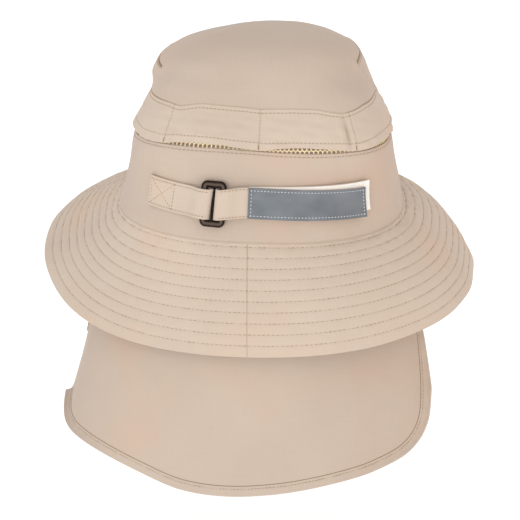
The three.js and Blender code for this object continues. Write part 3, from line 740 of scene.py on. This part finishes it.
def brim_point(along, azimuth):
    """Points of the brim's upper face, along from 0 at the seam to 1 at the edge."""
    along, azimuth = np.broadcast_arrays(np.asarray(along, float), np.asarray(azimuth, float))
    slope = table_row(BRIM_SLOPES, ((azimuth + 135) % 360) / 45, closed=True)
    straight_out = outward(azimuth)
    place = crown_point(0 * azimuth, azimuth).copy()
    place[..., 2] -= SEAM_GAP
    bends = 8
    for bend in range(bends):
        turn = np.radians(slope[..., 0] + (slope[..., 1] - slope[..., 0]) * (bend + 0.5) / bends * along)
        length = BRIM_WIDTH * along / bends
        place = place + straight_out * (length * np.cos(turn))[..., None]
        place[..., 2] -= length * np.sin(turn)
    return place


def brim_face(along, azimuth):
    """The brim's upper face with its slow waves, and its normals."""
    place = brim_point(along, azimuth)
    out = -surface_normal(brim_point, np.clip(along, 0.02, 0.98), azimuth)
    wave = 0.9 * noise(place, 80, 31) * along + 0.2 * noise(place, 30, 32) * smooth_step(0, 0.2, along)
    return place + out * (wave - 0.15)[..., None], out


EDGE_STEPS = np.array([3, 1.2, 0.4, 0])  # rows of the mesh, in from the brim's edge
stops = np.union1d(np.add.outer(QUILT_ROWS, ROW_STEPS), [-0.4, 0.5, *(BRIM_WIDTH - EDGE_STEPS)])
distances = stops[stops <= BRIM_WIDTH]
columns = np.union1d(all_round(600), [-2.56, -2.48, -2.32, -2.24])  # closer at the seam
along, azimuth = np.meshgrid(distances / BRIM_WIDTH, columns, indexing="ij")
to_seam = (azimuth - BACK_SEAM) * (1.55 + 0.75 * along)
azimuth = azimuth + 0.9 * along * bell(azimuth - BACK_SEAM, 8)  # the seam isn't quite straight
distance = along * BRIM_WIDTH
to_row = np.abs(distance[..., None] - QUILT_ROWS).min(-1)
face, out = brim_face(along, azimuth)
side = smooth_step(25, 75, np.abs(azimuth))
pucker = (0.1 + 0.06 * side) * noise(face, 5.2, 33) * bell(to_row, 2.6)
pucker = pucker + (0.14 + 0.22 * side) * noise(face * [1.6, 1.6, 1], 9, 34) * bell(distance, 13)
# Painted shade: the colour darkens in the quilting grooves (more at the sides), along the back seam and at
# the brim seam.
painted_crease_shade = (0.1 + 0.2 * side) * bell(to_row, 0.34) + 0.7 * bell(to_seam, 0.16) + 0.2 * bell(distance, 0.3)
relief = pucker - QUILT_DEPTH * bell(to_row, 0.8) - 0.2 * bell(to_seam, 0.2)
cloth_piece("brim_cloth", face, BRIM_SHELL, LIT_KHAKI, "brim", rows_down=True, relief=relief,
            painted_crease_shade=painted_crease_shade)
upper, under = [], []
for row in QUILT_ROWS:
    line, out = brim_face(np.full(ROUND.shape, row / BRIM_WIDTH), ROUND)
    upper.append((line - out * (QUILT_DEPTH + 0.02), out))
    under.append((line - out * (BRIM_SHELL - QUILT_DEPTH - 0.02), -out))
for name, rows in (("brim_stitching_upper", upper), ("brim_stitching_under", under)):
    sew(name, rows, pitch=2.75, length=1.8, width=0.33)

# Neck cape
# One sheet of lighter khaki cloth hung from the brim seam, behind and at the sides of the neck. Its
# free edge has a turned hem with one row of stitching, and its left side folds back under itself.
CAPE_DROP = 143.6
CAPE_CLOTH = 1.2
HEM_WIDTH = 6.6
HEM_THICKNESS = 1.5
HEM_ROW = 2.2
LEFT_TUCK = 3.4
LEFT_TURN = -65  # degrees by which the hem is folded back there
LEFT_FOLD = (0.155, 0.18)  # where the hem comes out from behind the left side, as shares of its length
CAPE_SEAM = (-96.0, 70.0)
CAPE_SIDES = (-90.0, 48.0)
CAPE_LEANS = [(17,), (17.5,), (15.5,), (15,), (15,), (22,)]  # every 40 degrees from -120
CAPE_HEM_LINE = [  # share across, share of the drop, and outward curl of the hem in degrees
    (0, 0.62, 30), (0.004, 0.76, 38), (0.035, 0.855, 42), (0.12, 0.895, 36), (0.22, 0.918, 24),
    (0.325, 0.925, 10), (0.42, 0.952, 0), (0.51, 0.992, 0), (0.61, 1.0, 0), (0.71, 0.984, 0),
    (0.81, 0.957, 2), (0.9, 0.928, 8), (0.962, 0.888, 18), (0.992, 0.812, 32), (1, 0.69, 44)]


def cape_point(drop, azimuth):
    """Points of the cape's outer face, a drop below the brim seam, or up inside the crown."""
    drop, azimuth = np.broadcast_arrays(np.asarray(drop, float), np.asarray(azimuth, float))
    inset = -(BRIM_CLOTH + 2 * SEAM_GAP)
    lean = np.radians(table_row(CAPE_LEANS, (azimuth + 120) / 40)[..., 0])
    below = np.maximum(drop, 0)
    hung = crown_offset(0, azimuth, inset) + outward(azimuth) * (below * np.tan(lean))[..., None]
    hung[..., 2] -= below
    tucked = crown_offset(level_at(np.maximum(-drop, 0)), azimuth, inset)
    return np.where((drop < 0)[..., None], tucked, hung)


def cape_face(drop, azimuth):
    """The cape's outer face with broad soft folds that grow downwards, and its normals."""
    place = cape_point(drop, azimuth)
    out = -surface_normal(cape_point, np.maximum(drop, 1), azimuth)
    deep = np.clip(drop / CAPE_DROP, 0, 1)
    folds = 1.8 * noise(place * [1, 1, 0.3], 95, 41) * deep**1.4
    folds = folds + 0.35 * noise(place * [1, 1, 0.6], 33, 42) * deep
    tuck = LEFT_TUCK * smooth_step(55, 85, -azimuth) * smooth_step(55, 105, drop)
    return place + out * (folds - tuck)[..., None], out


def cape_threads(along, share):
    """Azimuth, drop and hem curl on the threads of the cape, a share of the way down."""
    row = table_row(CAPE_HEM_LINE, along * (len(CAPE_HEM_LINE) - 1))
    drop = row[..., 1] * (CAPE_DROP - HEM_WIDTH) * share
    depth = drop / (CAPE_DROP - HEM_WIDTH)
    left, right = (seam + (side - seam) * depth for seam, side in zip(CAPE_SEAM, CAPE_SIDES))
    return left + (right - left) * row[..., 0], drop, row[..., 2] * share**4


along, share = np.meshgrid(np.linspace(0, 1, 340), spaced(0, (1.0, 112), (1.012, 3)))
azimuth, drop, _ = cape_threads(along, share)
azimuth = np.concatenate([azimuth[:1], azimuth[:1], azimuth])
drop = np.concatenate([0 * drop[:1] - 5.0, 0 * drop[:1] - 2.5, drop])  # two rows tucked into the crown
cape = cloth_piece("neck_cape_cloth", cape_face(drop, azimuth)[0], CAPE_CLOTH, KHAKI, "neck_cape",
                   "cape_cloth", around=False, rows_down=True)

downs, threads = np.linspace(0.08, 0.99, 70), np.linspace(0, 1, 480)
along = np.concatenate([0 * downs, threads, 0 * downs + 1])  # down the left side, across and up the right
azimuth, drop, curl = cape_threads(along, np.concatenate([downs, 0 * threads + 1, downs[::-1]]))
middle, out = cape_face(drop, azimuth)
middle = middle - out * CAPE_CLOTH / 2
away = unit(np.cross(out, unit(np.gradient(middle, axis=0))))
away *= np.sign(away[len(away) // 2] @ [0, 0, -1])
shown = smooth_step(*LEFT_FOLD, along)
turn = np.radians(curl * shown + LEFT_TURN * (1 - shown))[:, None]
hem_rows = []
hem_steps = spaced(0, (0.03, 2), (1, 13))
for step in hem_steps:
    bend = turn * step
    direction = away * np.cos(bend) + out * np.sin(bend)
    lift = out * np.cos(bend) - away * np.sin(bend)
    hem_rows.append(middle - away * 0.2 + direction * HEM_WIDTH * step + lift * HEM_THICKNESS / 2)
hem = np.array(hem_rows)
across = HEM_WIDTH * hem_steps[:, None] * np.ones(len(middle))
wrinkle = 0.14 * noise(hem, 8, 43) + 0.1 * noise(hem, 3.6, 44)
# Painted shade: the colour darkens along the hem's inner edge and its stitch row, where the hem shows.
cape_hem = cloth_piece("neck_cape_hem", hem, HEM_THICKNESS, KHAKI, "cape_hem", "cape_cloth", around=False,
                       rows_down=True,
                       relief=wrinkle * smooth_step(0, 1.5, across) - 0.1 * bell(across - HEM_ROW, 0.5),
                       painted_crease_shade=(0.85 * bell(across, 0.25) + 0.1 * bell(across - HEM_ROW, 0.45)) * shown)
row = int(np.abs(hem_steps * HEM_WIDTH - HEM_ROW).argmin())
out = grid_normals(hem, False)[row] * -1
line = hem[row] - out * 0.08
sew("neck_cape_hem_stitching", [(line, out)], "cape_cloth", pitch=2.1, length=1.45, width=0.32)

# Strap
# Two flat straps of the same cloth, edge-stitched all along. The left one is sewn down by a box with a
# cross and holds the buckle; the right one turns round the buckle and lies back over the loop tape.
STRAP_WIDTH = 18.5
STRAP_CLOTH = 1.1
STRAP_HEIGHT = 18.2
LAYER_GAP = 0.3
FOLD_GAP = 1.7
ANCHOR_LENGTH = 44.5
ANCHOR_LIFT = 3.0
ANCHOR_RETURN = 14.0
TONGUE_LENGTH = 89.0
TONGUE_DROP = 1.4
PATCH_START = 20.0
PATCH_LIFT = 1.6
PATCH_CLOTH = 0.6
TAPE_LENGTH = 73.0
TAPE_CLOTH = 1.1
BUCKLE_AZIMUTH = -16.0
BUCKLE_WIDTH = 15.0
BUCKLE_BEVEL = 0.6
BUCKLE_THICKNESS = 2.4
UNDER_LAYER = LAYER_GAP + STRAP_CLOTH / 2
OVER_UNDER = 2 * LAYER_GAP + STRAP_CLOTH
BUCKLE_BACK = LAYER_GAP + STRAP_CLOTH + 0.8
OVER_BUCKLE = BUCKLE_BACK + BUCKLE_THICKNESS + 0.8 + STRAP_CLOTH / 2
OVER_TAPE = OVER_UNDER + TAPE_CLOTH + LAYER_GAP + STRAP_CLOTH / 2
EDGE_ROW = STRAP_WIDTH / 2 - 1.7
BOX_START = 1.6
BOX_END = 19.0
DEGREES = np.arange(-180, 181)
wall_distances = run_along(crown_point(level_at(STRAP_HEIGHT), DEGREES))
buckle_distance = np.interp(BUCKLE_AZIMUTH, DEGREES, wall_distances)


def on_wall(along, up, out):
    """The crown's wall as a flat sheet: along to the right from the buckle, up from the strap's middle."""
    azimuth = np.interp(buckle_distance + along, wall_distances, DEGREES)
    foot, head = (crown_point(level_at(height), azimuth) for height in (STRAP_HEIGHT, STRAP_HEIGHT + 1))
    slant = np.linalg.norm(head - foot, axis=-1)
    return crown_offset(level_at(STRAP_HEIGHT + up / slant), azimuth, out)


def smooth_path(stops, step=0.5):
    """Fine points of a smooth curve through stops, which stays tight where the stops are close."""
    stops = np.array(stops, float)
    stops = np.concatenate([[2 * stops[0] - stops[1]], stops, [2 * stops[-1] - stops[-2]]])
    points = []
    for i in range(1, len(stops) - 2):
        p = stops[i - 1 : i + 3]
        knots = np.concatenate([[0], np.sqrt(np.linalg.norm(np.diff(p, axis=0), axis=1)).cumsum()])
        count = max(int(np.linalg.norm(p[2] - p[1]) / step), 2)
        t = np.linspace(knots[1], knots[2], count, endpoint=False)[:, None]

        def between(a, b, first, last):
            """The blend of a and b from one knot to another."""
            return (a * (knots[last] - t) + b * (t - knots[first])) / (knots[last] - knots[first])

        lines = [between(p[j], p[j + 1], j, j + 1) for j in range(3)]
        arcs = [between(lines[j], lines[j + 1], j, j + 2) for j in range(2)]
        points.append(between(*arcs, 1, 2))
    return np.concatenate([*points, stops[-2:-1]])


def path_away(path, side):
    """Directions from a strap's path to its outer face, along the wall and out from it."""
    tangent = np.gradient(path, axis=0)
    return unit(np.stack([-tangent[:, 2], tangent[:, 0]], -1)) * side


def strip_face(path, across, cloth, side=1, turn=0.0):
    """A grid on a strip wrapped on the wall: rows across it from below, columns along its path."""
    away = path_away(path, side) * cloth / 2
    across = np.asarray(across, float)[:, None]
    return on_wall(path[:, 0] + away[:, 0] + across * math.sin(turn), path[:, 1] + across * math.cos(turn),
                   path[:, 2] + away[:, 1] + 0 * across)


def turn_round_bar(side):
    """Stops of a strap round a bar of the buckle, from the layer over it to the one under it."""
    radius = (OVER_BUCKLE - UNDER_LAYER) / 2
    centre = FOLD_GAP / 2 + STRAP_CLOTH / 2 + radius
    turns = np.radians([90, 60, 30, 0, -30, -60, -90])
    return [(side * (centre - radius * math.cos(turn)), 0, UNDER_LAYER + radius + radius * math.sin(turn))
            for turn in turns]


HALF_STRAP = STRAP_WIDTH / 2
ACROSS = spaced(-HALF_STRAP, (-HALF_STRAP + 0.5, 3), (HALF_STRAP - 0.5, 22), (HALF_STRAP, 3))


def strap_piece(name, path, node, rows, cloth=STRAP_CLOTH, material=LIT_KHAKI, slot="cloth", turn=0.0,
                side=1, wrinkle=0.06):
    """A strip of cloth along a path, with dents along its stitch rows, and painted shade along the rows and
    at its edges.
    """
    face = strip_face(path, ACROSS, cloth, side, turn)
    up = ACROSS[:, None] * np.ones(len(path))
    to_row = np.min([np.abs(up - row) for row in rows], axis=0)
    cloth_piece(name, face, cloth, material, node, slot, around=False, rows_down=side < 0,
                relief=wrinkle * noise(face, 9, 51) - 0.06 * bell(to_row, 0.5),
                painted_crease_shade=0.12 * bell(to_row, 0.45) + 0.12 * bell(np.abs(up) - HALF_STRAP, 0.3))


bar_reach = BUCKLE_WIDTH / 2 + BUCKLE_BEVEL
anchor_path = smooth_path([
    (-ANCHOR_LENGTH, ANCHOR_LIFT, UNDER_LAYER),
    (-ANCHOR_LENGTH * 0.75, ANCHOR_LIFT * 0.75, UNDER_LAYER),
    (-ANCHOR_RETURN - 8, ANCHOR_LIFT * 0.45, UNDER_LAYER + LAYER_GAP),
    (-ANCHOR_RETURN, ANCHOR_LIFT * 0.3, UNDER_LAYER + STRAP_CLOTH + 2 * LAYER_GAP),
    (-bar_reach, ANCHOR_LIFT * 0.15, OVER_BUCKLE),
    *turn_round_bar(-1),
    (-ANCHOR_RETURN, ANCHOR_LIFT * 0.3, UNDER_LAYER),
])
skew = math.atan(ANCHOR_LIFT / ANCHOR_LENGTH)
strap_piece("strap_anchor_cloth", anchor_path, "strap_anchor", (-EDGE_ROW, EDGE_ROW), turn=skew)


def strap_line(path, stops, turn=0.0, cloth=STRAP_CLOTH, side=1):
    """A stitch line on a strap's outer face through stops of distance along and across it."""
    stops = np.array(stops, float)
    spread = run_along(stops)
    fine = np.arange(0, spread[-1], 0.4)
    along, up = (np.interp(fine, spread, stops[:, i]) for i in (0, 1))
    values = (*path.T, *path_away(path, side).T)
    x, y, z, away_x, away_z = (np.interp(along, run_along(path), value) for value in values)
    lines = [on_wall(x + away_x * lift + up * math.sin(turn), y + up * math.cos(turn), z + away_z * lift)
             for lift in (cloth / 2 + 0.02, cloth / 2 + 0.5)]
    return lines[0], unit(lines[1] - lines[0])


visible = ANCHOR_LENGTH - 2.5
box_corners = [(along, up) for along in (BOX_START, BOX_END) for up in (-EDGE_ROW, EDGE_ROW)]
low_left, high_left, low_right, high_right = box_corners
lines = [(high_left, (visible, EDGE_ROW)), (low_left, (visible, -EDGE_ROW)), (low_left, high_left),
         (low_right, high_right), (low_left, high_right), (high_left, low_right)]
lines = [strap_line(anchor_path, line, skew) for line in lines]
sew("strap_anchor_stitching", lines, pitch=2.0, length=1.4, width=0.36)


def free_end(share, out):
    """A stop of the right strap's free end, from the start of the patch to its tip."""
    along = PATCH_START + (TONGUE_LENGTH - PATCH_START) * share
    return (along, PATCH_LIFT - (PATCH_LIFT + TONGUE_DROP) * share, out)


tape_end = PATCH_START + TAPE_LENGTH
tongue_path = smooth_path([
    free_end(1, OVER_TAPE),
    free_end(0.5, OVER_TAPE),
    free_end(0, OVER_TAPE),
    (PATCH_START - 6, PATCH_LIFT * 0.7, OVER_TAPE),
    (bar_reach, PATCH_LIFT / 3, OVER_BUCKLE),
    *turn_round_bar(1),
    (PATCH_START, PATCH_LIFT, UNDER_LAYER),
    (tape_end, PATCH_LIFT, UNDER_LAYER),
])
tongue_rows = (-EDGE_ROW - 0.6, EDGE_ROW + 0.6)
strap_piece("strap_tongue_cloth", tongue_path, "strap_tongue", tongue_rows, side=-1)
start, end = TONGUE_LENGTH - PATCH_START + 0.5, TONGUE_LENGTH - 4
lines = [strap_line(tongue_path, [(start, row), (end, row)], side=-1) for row in tongue_rows]
sew("strap_tongue_stitching", lines, pitch=2.0, length=1.4, width=0.36)

# Loop tape
# An off-white tape of looped pile, sewn flat to the crown under the free end of the right strap. Its
# pile is a fine uneven relief all over its face.
TAPE_SHOWN = 1.2  # how much of its end shows past the strap under it
PILE_WHITE = yarn_material("Off-white pile", 236, 232, 225, roughness=0.95, sheen=0.35)
tape_stops = (PATCH_START, (PATCH_START + tape_end) / 2, tape_end + TAPE_SHOWN)
tape_path = smooth_path([(along, PATCH_LIFT, OVER_UNDER + TAPE_CLOTH / 2) for along in tape_stops])
face = strip_face(tape_path, ACROSS, TAPE_CLOTH)
cloth_piece("loop_tape_cloth", face, TAPE_CLOTH, PILE_WHITE, "loop_tape", "loop_pile", around=False,
            relief=0.12 * noise(face, 1.7, 61))

# Reflective patch
# A blue-grey reflective cloth facing on the strap's free end, sewn round its edge with white thread.
PATCH_ROW_INSET = 1.7
WHITE_THREAD = yarn_material("White thread", 224, 224, 220)
material, tree, shader = new_material("Reflective cloth")
place = object_place(tree)
ramp = add_node(tree, "ShaderNodeValToRGB", {0: noise_texture(tree, place, 1.0, 3.0, (55.0, 55.0, 70.0))})
for stop, position, tone in zip(ramp.color_ramp.elements, (0.3, 0.72), ((88, 94, 100), (113, 118, 123))):
    stop.position = position
    stop.color = srgb(*tone)
beads = add_node(tree, "ShaderNodeTexVoronoi", {"Vector": place, "Scale": 5200.0}).outputs["Distance"]
bump = add_node(tree, "ShaderNodeBump", {"Strength": 0.15, "Distance": 0.00006, "Height": beads})
set_inputs(tree, shader, {"Base Color": ramp, "Normal": bump, "Roughness": 0.5})
patch_out = OVER_TAPE + STRAP_CLOTH / 2 + LAYER_GAP + PATCH_CLOTH / 2
patch_path = smooth_path([free_end(share, patch_out) for share in (0, 0.5, 1)])
low, high = -HALF_STRAP + PATCH_ROW_INSET, HALF_STRAP - PATCH_ROW_INSET
near, far = PATCH_ROW_INSET, TONGUE_LENGTH - PATCH_START - PATCH_ROW_INSET
strap_piece("reflective_patch_cloth", patch_path, "reflective_patch", (low, high), PATCH_CLOTH, material,
            "reflective", wrinkle=0.08)
lines = [((near, low), (far, low)), ((near, high), (far, high))]
lines += [((near, low), (near, high)), ((far, low), (far, high))]
lines = [strap_line(patch_path, line, cloth=PATCH_CLOTH) for line in lines]
sew("reflective_patch_stitching", lines, "reflective", WHITE_THREAD, pitch=1.95, length=1.25, width=0.4)

# Buckle
# A small rounded rectangular slide buckle of dark bronze-coloured metal. The straps turn round its two
# upright bars, and a thin dark middle bar shows between them, which also stands in for the shade in the
# slot there.
BUCKLE_BAR = 4.0
BUCKLE_TURN = -2.0
SLOT_SLACK = 0.6
CORNER = 1.6
bronze, tree, shader = new_material("Dark bronze")
wear_and_highlight_noise = noise_texture(tree, object_place(tree), 420.0, 4.0)
# Painted highlight: the colour is lighter along the top of each bar's section, made uneven by the noise
# that also varies the roughness.
highlight_mask = add_node(tree, "ShaderNodeAttribute", attribute_name="crown").outputs["Fac"]
painted_highlight = maths(tree, "MULTIPLY", highlight_mask, maths(tree, "MULTIPLY_ADD", wear_and_highlight_noise, 0.8, 0.5))
set_inputs(tree, shader, {
    "Base Color": mix_colour(tree, painted_highlight, srgb(20, 15, 13), srgb(66, 54, 47)),
    "Roughness": add_node(tree, "ShaderNodeMapRange", {"Value": wear_and_highlight_noise, "To Min": 0.28, "To Max": 0.45}),
    "Metallic": 0.85,
})


def buckle_frame():
    """The buckle's middle and its directions to the right, up and out."""

    def at(along, up):
        """A point at the back of the buckle."""
        return on_wall(np.array(float(along)), np.array(float(up)), BUCKLE_BACK)

    right = unit(at(1, 0) - at(-1, 0))
    out = unit(np.cross(right, at(0, 1) - at(0, -1)))
    up = np.cross(out, right)
    along, aside = math.cos(math.radians(BUCKLE_TURN)), math.sin(math.radians(BUCKLE_TURN))
    return at(0, 0), right * along + up * aside, up * along - right * aside, out


def rounded_ring(half_width, half_height, corner, count=12):
    """Points round a rectangle with rounded corners, and the outward direction at each."""
    points, directions = [], []
    for quarter, (x, y) in enumerate(((1, 1), (-1, 1), (-1, -1), (1, -1))):
        for t in np.radians(np.linspace(0, 90, count)) + math.pi / 2 * quarter:
            directions.append((math.cos(t), math.sin(t)))
            points.append((x * (half_width - corner), y * (half_height - corner)))
    return np.array(points) + corner * np.array(directions), np.array(directions)


def signed_power(values, power):
    """Values raised to a power, with their signs kept."""
    return np.sign(values) * np.abs(values) ** power


middle, right, up, out = buckle_frame()
slot_height = STRAP_WIDTH + 2 * SLOT_SLACK
half_height = (slot_height + BUCKLE_BAR) / 2 - 0.35
points, directions = rounded_ring((BUCKLE_WIDTH - BUCKLE_BAR) / 2, half_height, CORNER)
section = np.radians(np.arange(0, 360, 15))
flat = signed_power(np.cos(section), 2 / 2.4) * BUCKLE_BAR / 2
tall = signed_power(np.sin(section), 2 / 2.4) * BUCKLE_THICKNESS / 2
ring = points[:, None] + directions[:, None] * flat[:, None]
place = middle + ring[..., :1] * right + ring[..., 1:] * up + (tall + BUCKLE_THICKNESS / 2)[:, None] * out
count, around = place.shape[:2]
first, *others = grid_corners(np.arange(count), around, count)
quads = corner_quads([first, *others[::-1]], around)  # turned, so that they face outwards
buckle_mesh = mesh_from_arrays("buckle_frame", place.reshape(-1, 3), quads)
# The crown attribute is the mask of the painted highlight along the top of the bars.
add_values(buckle_mesh, "crown", np.broadcast_to(np.clip(np.sin(section), 0, 1) ** 5, place.shape[:2]))
new_piece("buckle_frame", buckle_mesh, bronze, "buckle", "buckle")

# The middle bar is the darkest bronze, and it is also painted shade for the slot between the straps.
MIDDLE_BAR = (0.95, 0.7)  # half its width and half its depth
section = np.radians(np.arange(0, 360, 30))[:, None]
heights = np.linspace(-half_height, half_height, 24)[:, None, None]
bar = middle + out * BUCKLE_THICKNESS / 2 + up * heights
bar = bar + right * MIDDLE_BAR[0] * np.cos(section) + out * MIDDLE_BAR[1] * np.sin(section)
corners = grid_corners(np.arange(len(heights) - 1), len(section), len(heights))
bar_mesh = mesh_from_arrays("buckle_middle_bar_and_slot_shade", bar.reshape(-1, 3), corner_quads(corners, len(section)))
new_piece("buckle_middle_bar_and_slot_shade", bar_mesh, bronze, "buckle")

# Camera, light and floor
# The cap is seen from behind and a little above, on a pale floor, in even light from large soft
# sources with the main one in front and to the left.
VIEW_AZIMUTH = math.radians(3)
VIEW_HEIGHT = math.radians(15)
VIEW_DISTANCE = 1.2
FOCAL_PIXELS = 1920
PICTURE_PIXELS = 520
SENSOR = 36
SHIFT_PIXELS = (-2, -64)  # of the view, to frame the cap as in the photograph
reach = math.cos(VIEW_HEIGHT)
back = Vector((math.sin(VIEW_AZIMUTH) * reach, -math.cos(VIEW_AZIMUTH) * reach, math.sin(VIEW_HEIGHT)))
camera_data = bpy.data.cameras.new("view")
camera_data.sensor_width = SENSOR
camera_data.lens = SENSOR * FOCAL_PIXELS / PICTURE_PIXELS
camera_data.shift_x, camera_data.shift_y = (shift / PICTURE_PIXELS for shift in SHIFT_PIXELS)
camera = new_object("view", camera_data)
camera.location = back * VIEW_DISTANCE
camera.rotation_euler = back.to_track_quat("Z", "Y").to_euler()
bpy.context.scene.camera = camera
bpy.context.scene.view_settings.view_transform = "Standard"

FLOOR_HEIGHT = -0.26
FLOOR_REACH = 4.0
corners = [(-FLOOR_REACH, -FLOOR_REACH), (FLOOR_REACH, -FLOOR_REACH), (FLOOR_REACH, FLOOR_REACH),
           (-FLOOR_REACH, FLOOR_REACH)]
floor_mesh = bpy.data.meshes.new("floor")
floor_mesh.from_pydata([(x, y, FLOOR_HEIGHT) for x, y in corners], [], [(0, 1, 2, 3)])
floor = new_object("floor", floor_mesh)
floor_material, tree, shader = new_material("Pale floor")
set_inputs(tree, shader, {"Base Color": (0.95, 0.95, 0.95, 1), "Emission Color": (1, 1, 1, 1),
                          "Emission Strength": 0.22, "Roughness": 0.9})
floor_mesh.materials.append(floor_material)

world = bpy.data.worlds.new("studio")
world.use_nodes = True
set_inputs(world.node_tree, world.node_tree.nodes["Background"], {"Color": (1, 1, 1, 1), "Strength": 1.0})
bpy.context.scene.world = world
for name, place, size, power, colour in (
    ("key", (-0.5, -2.1, 0.1), 0.9, 14.0, (1, 1, 1)),
    ("warm fill", (2.0, -0.6, 0.1), 1.0, 3.4, (1, 0.45, 0.2)),
):
    light_data = bpy.data.lights.new(name, "AREA")
    light_data.energy = power
    light_data.color = colour
    light_data.size = size
    light = new_object(name, light_data)
    light.location = place
    light.rotation_euler = Vector(place).to_track_quat("Z", "Y").to_euler()
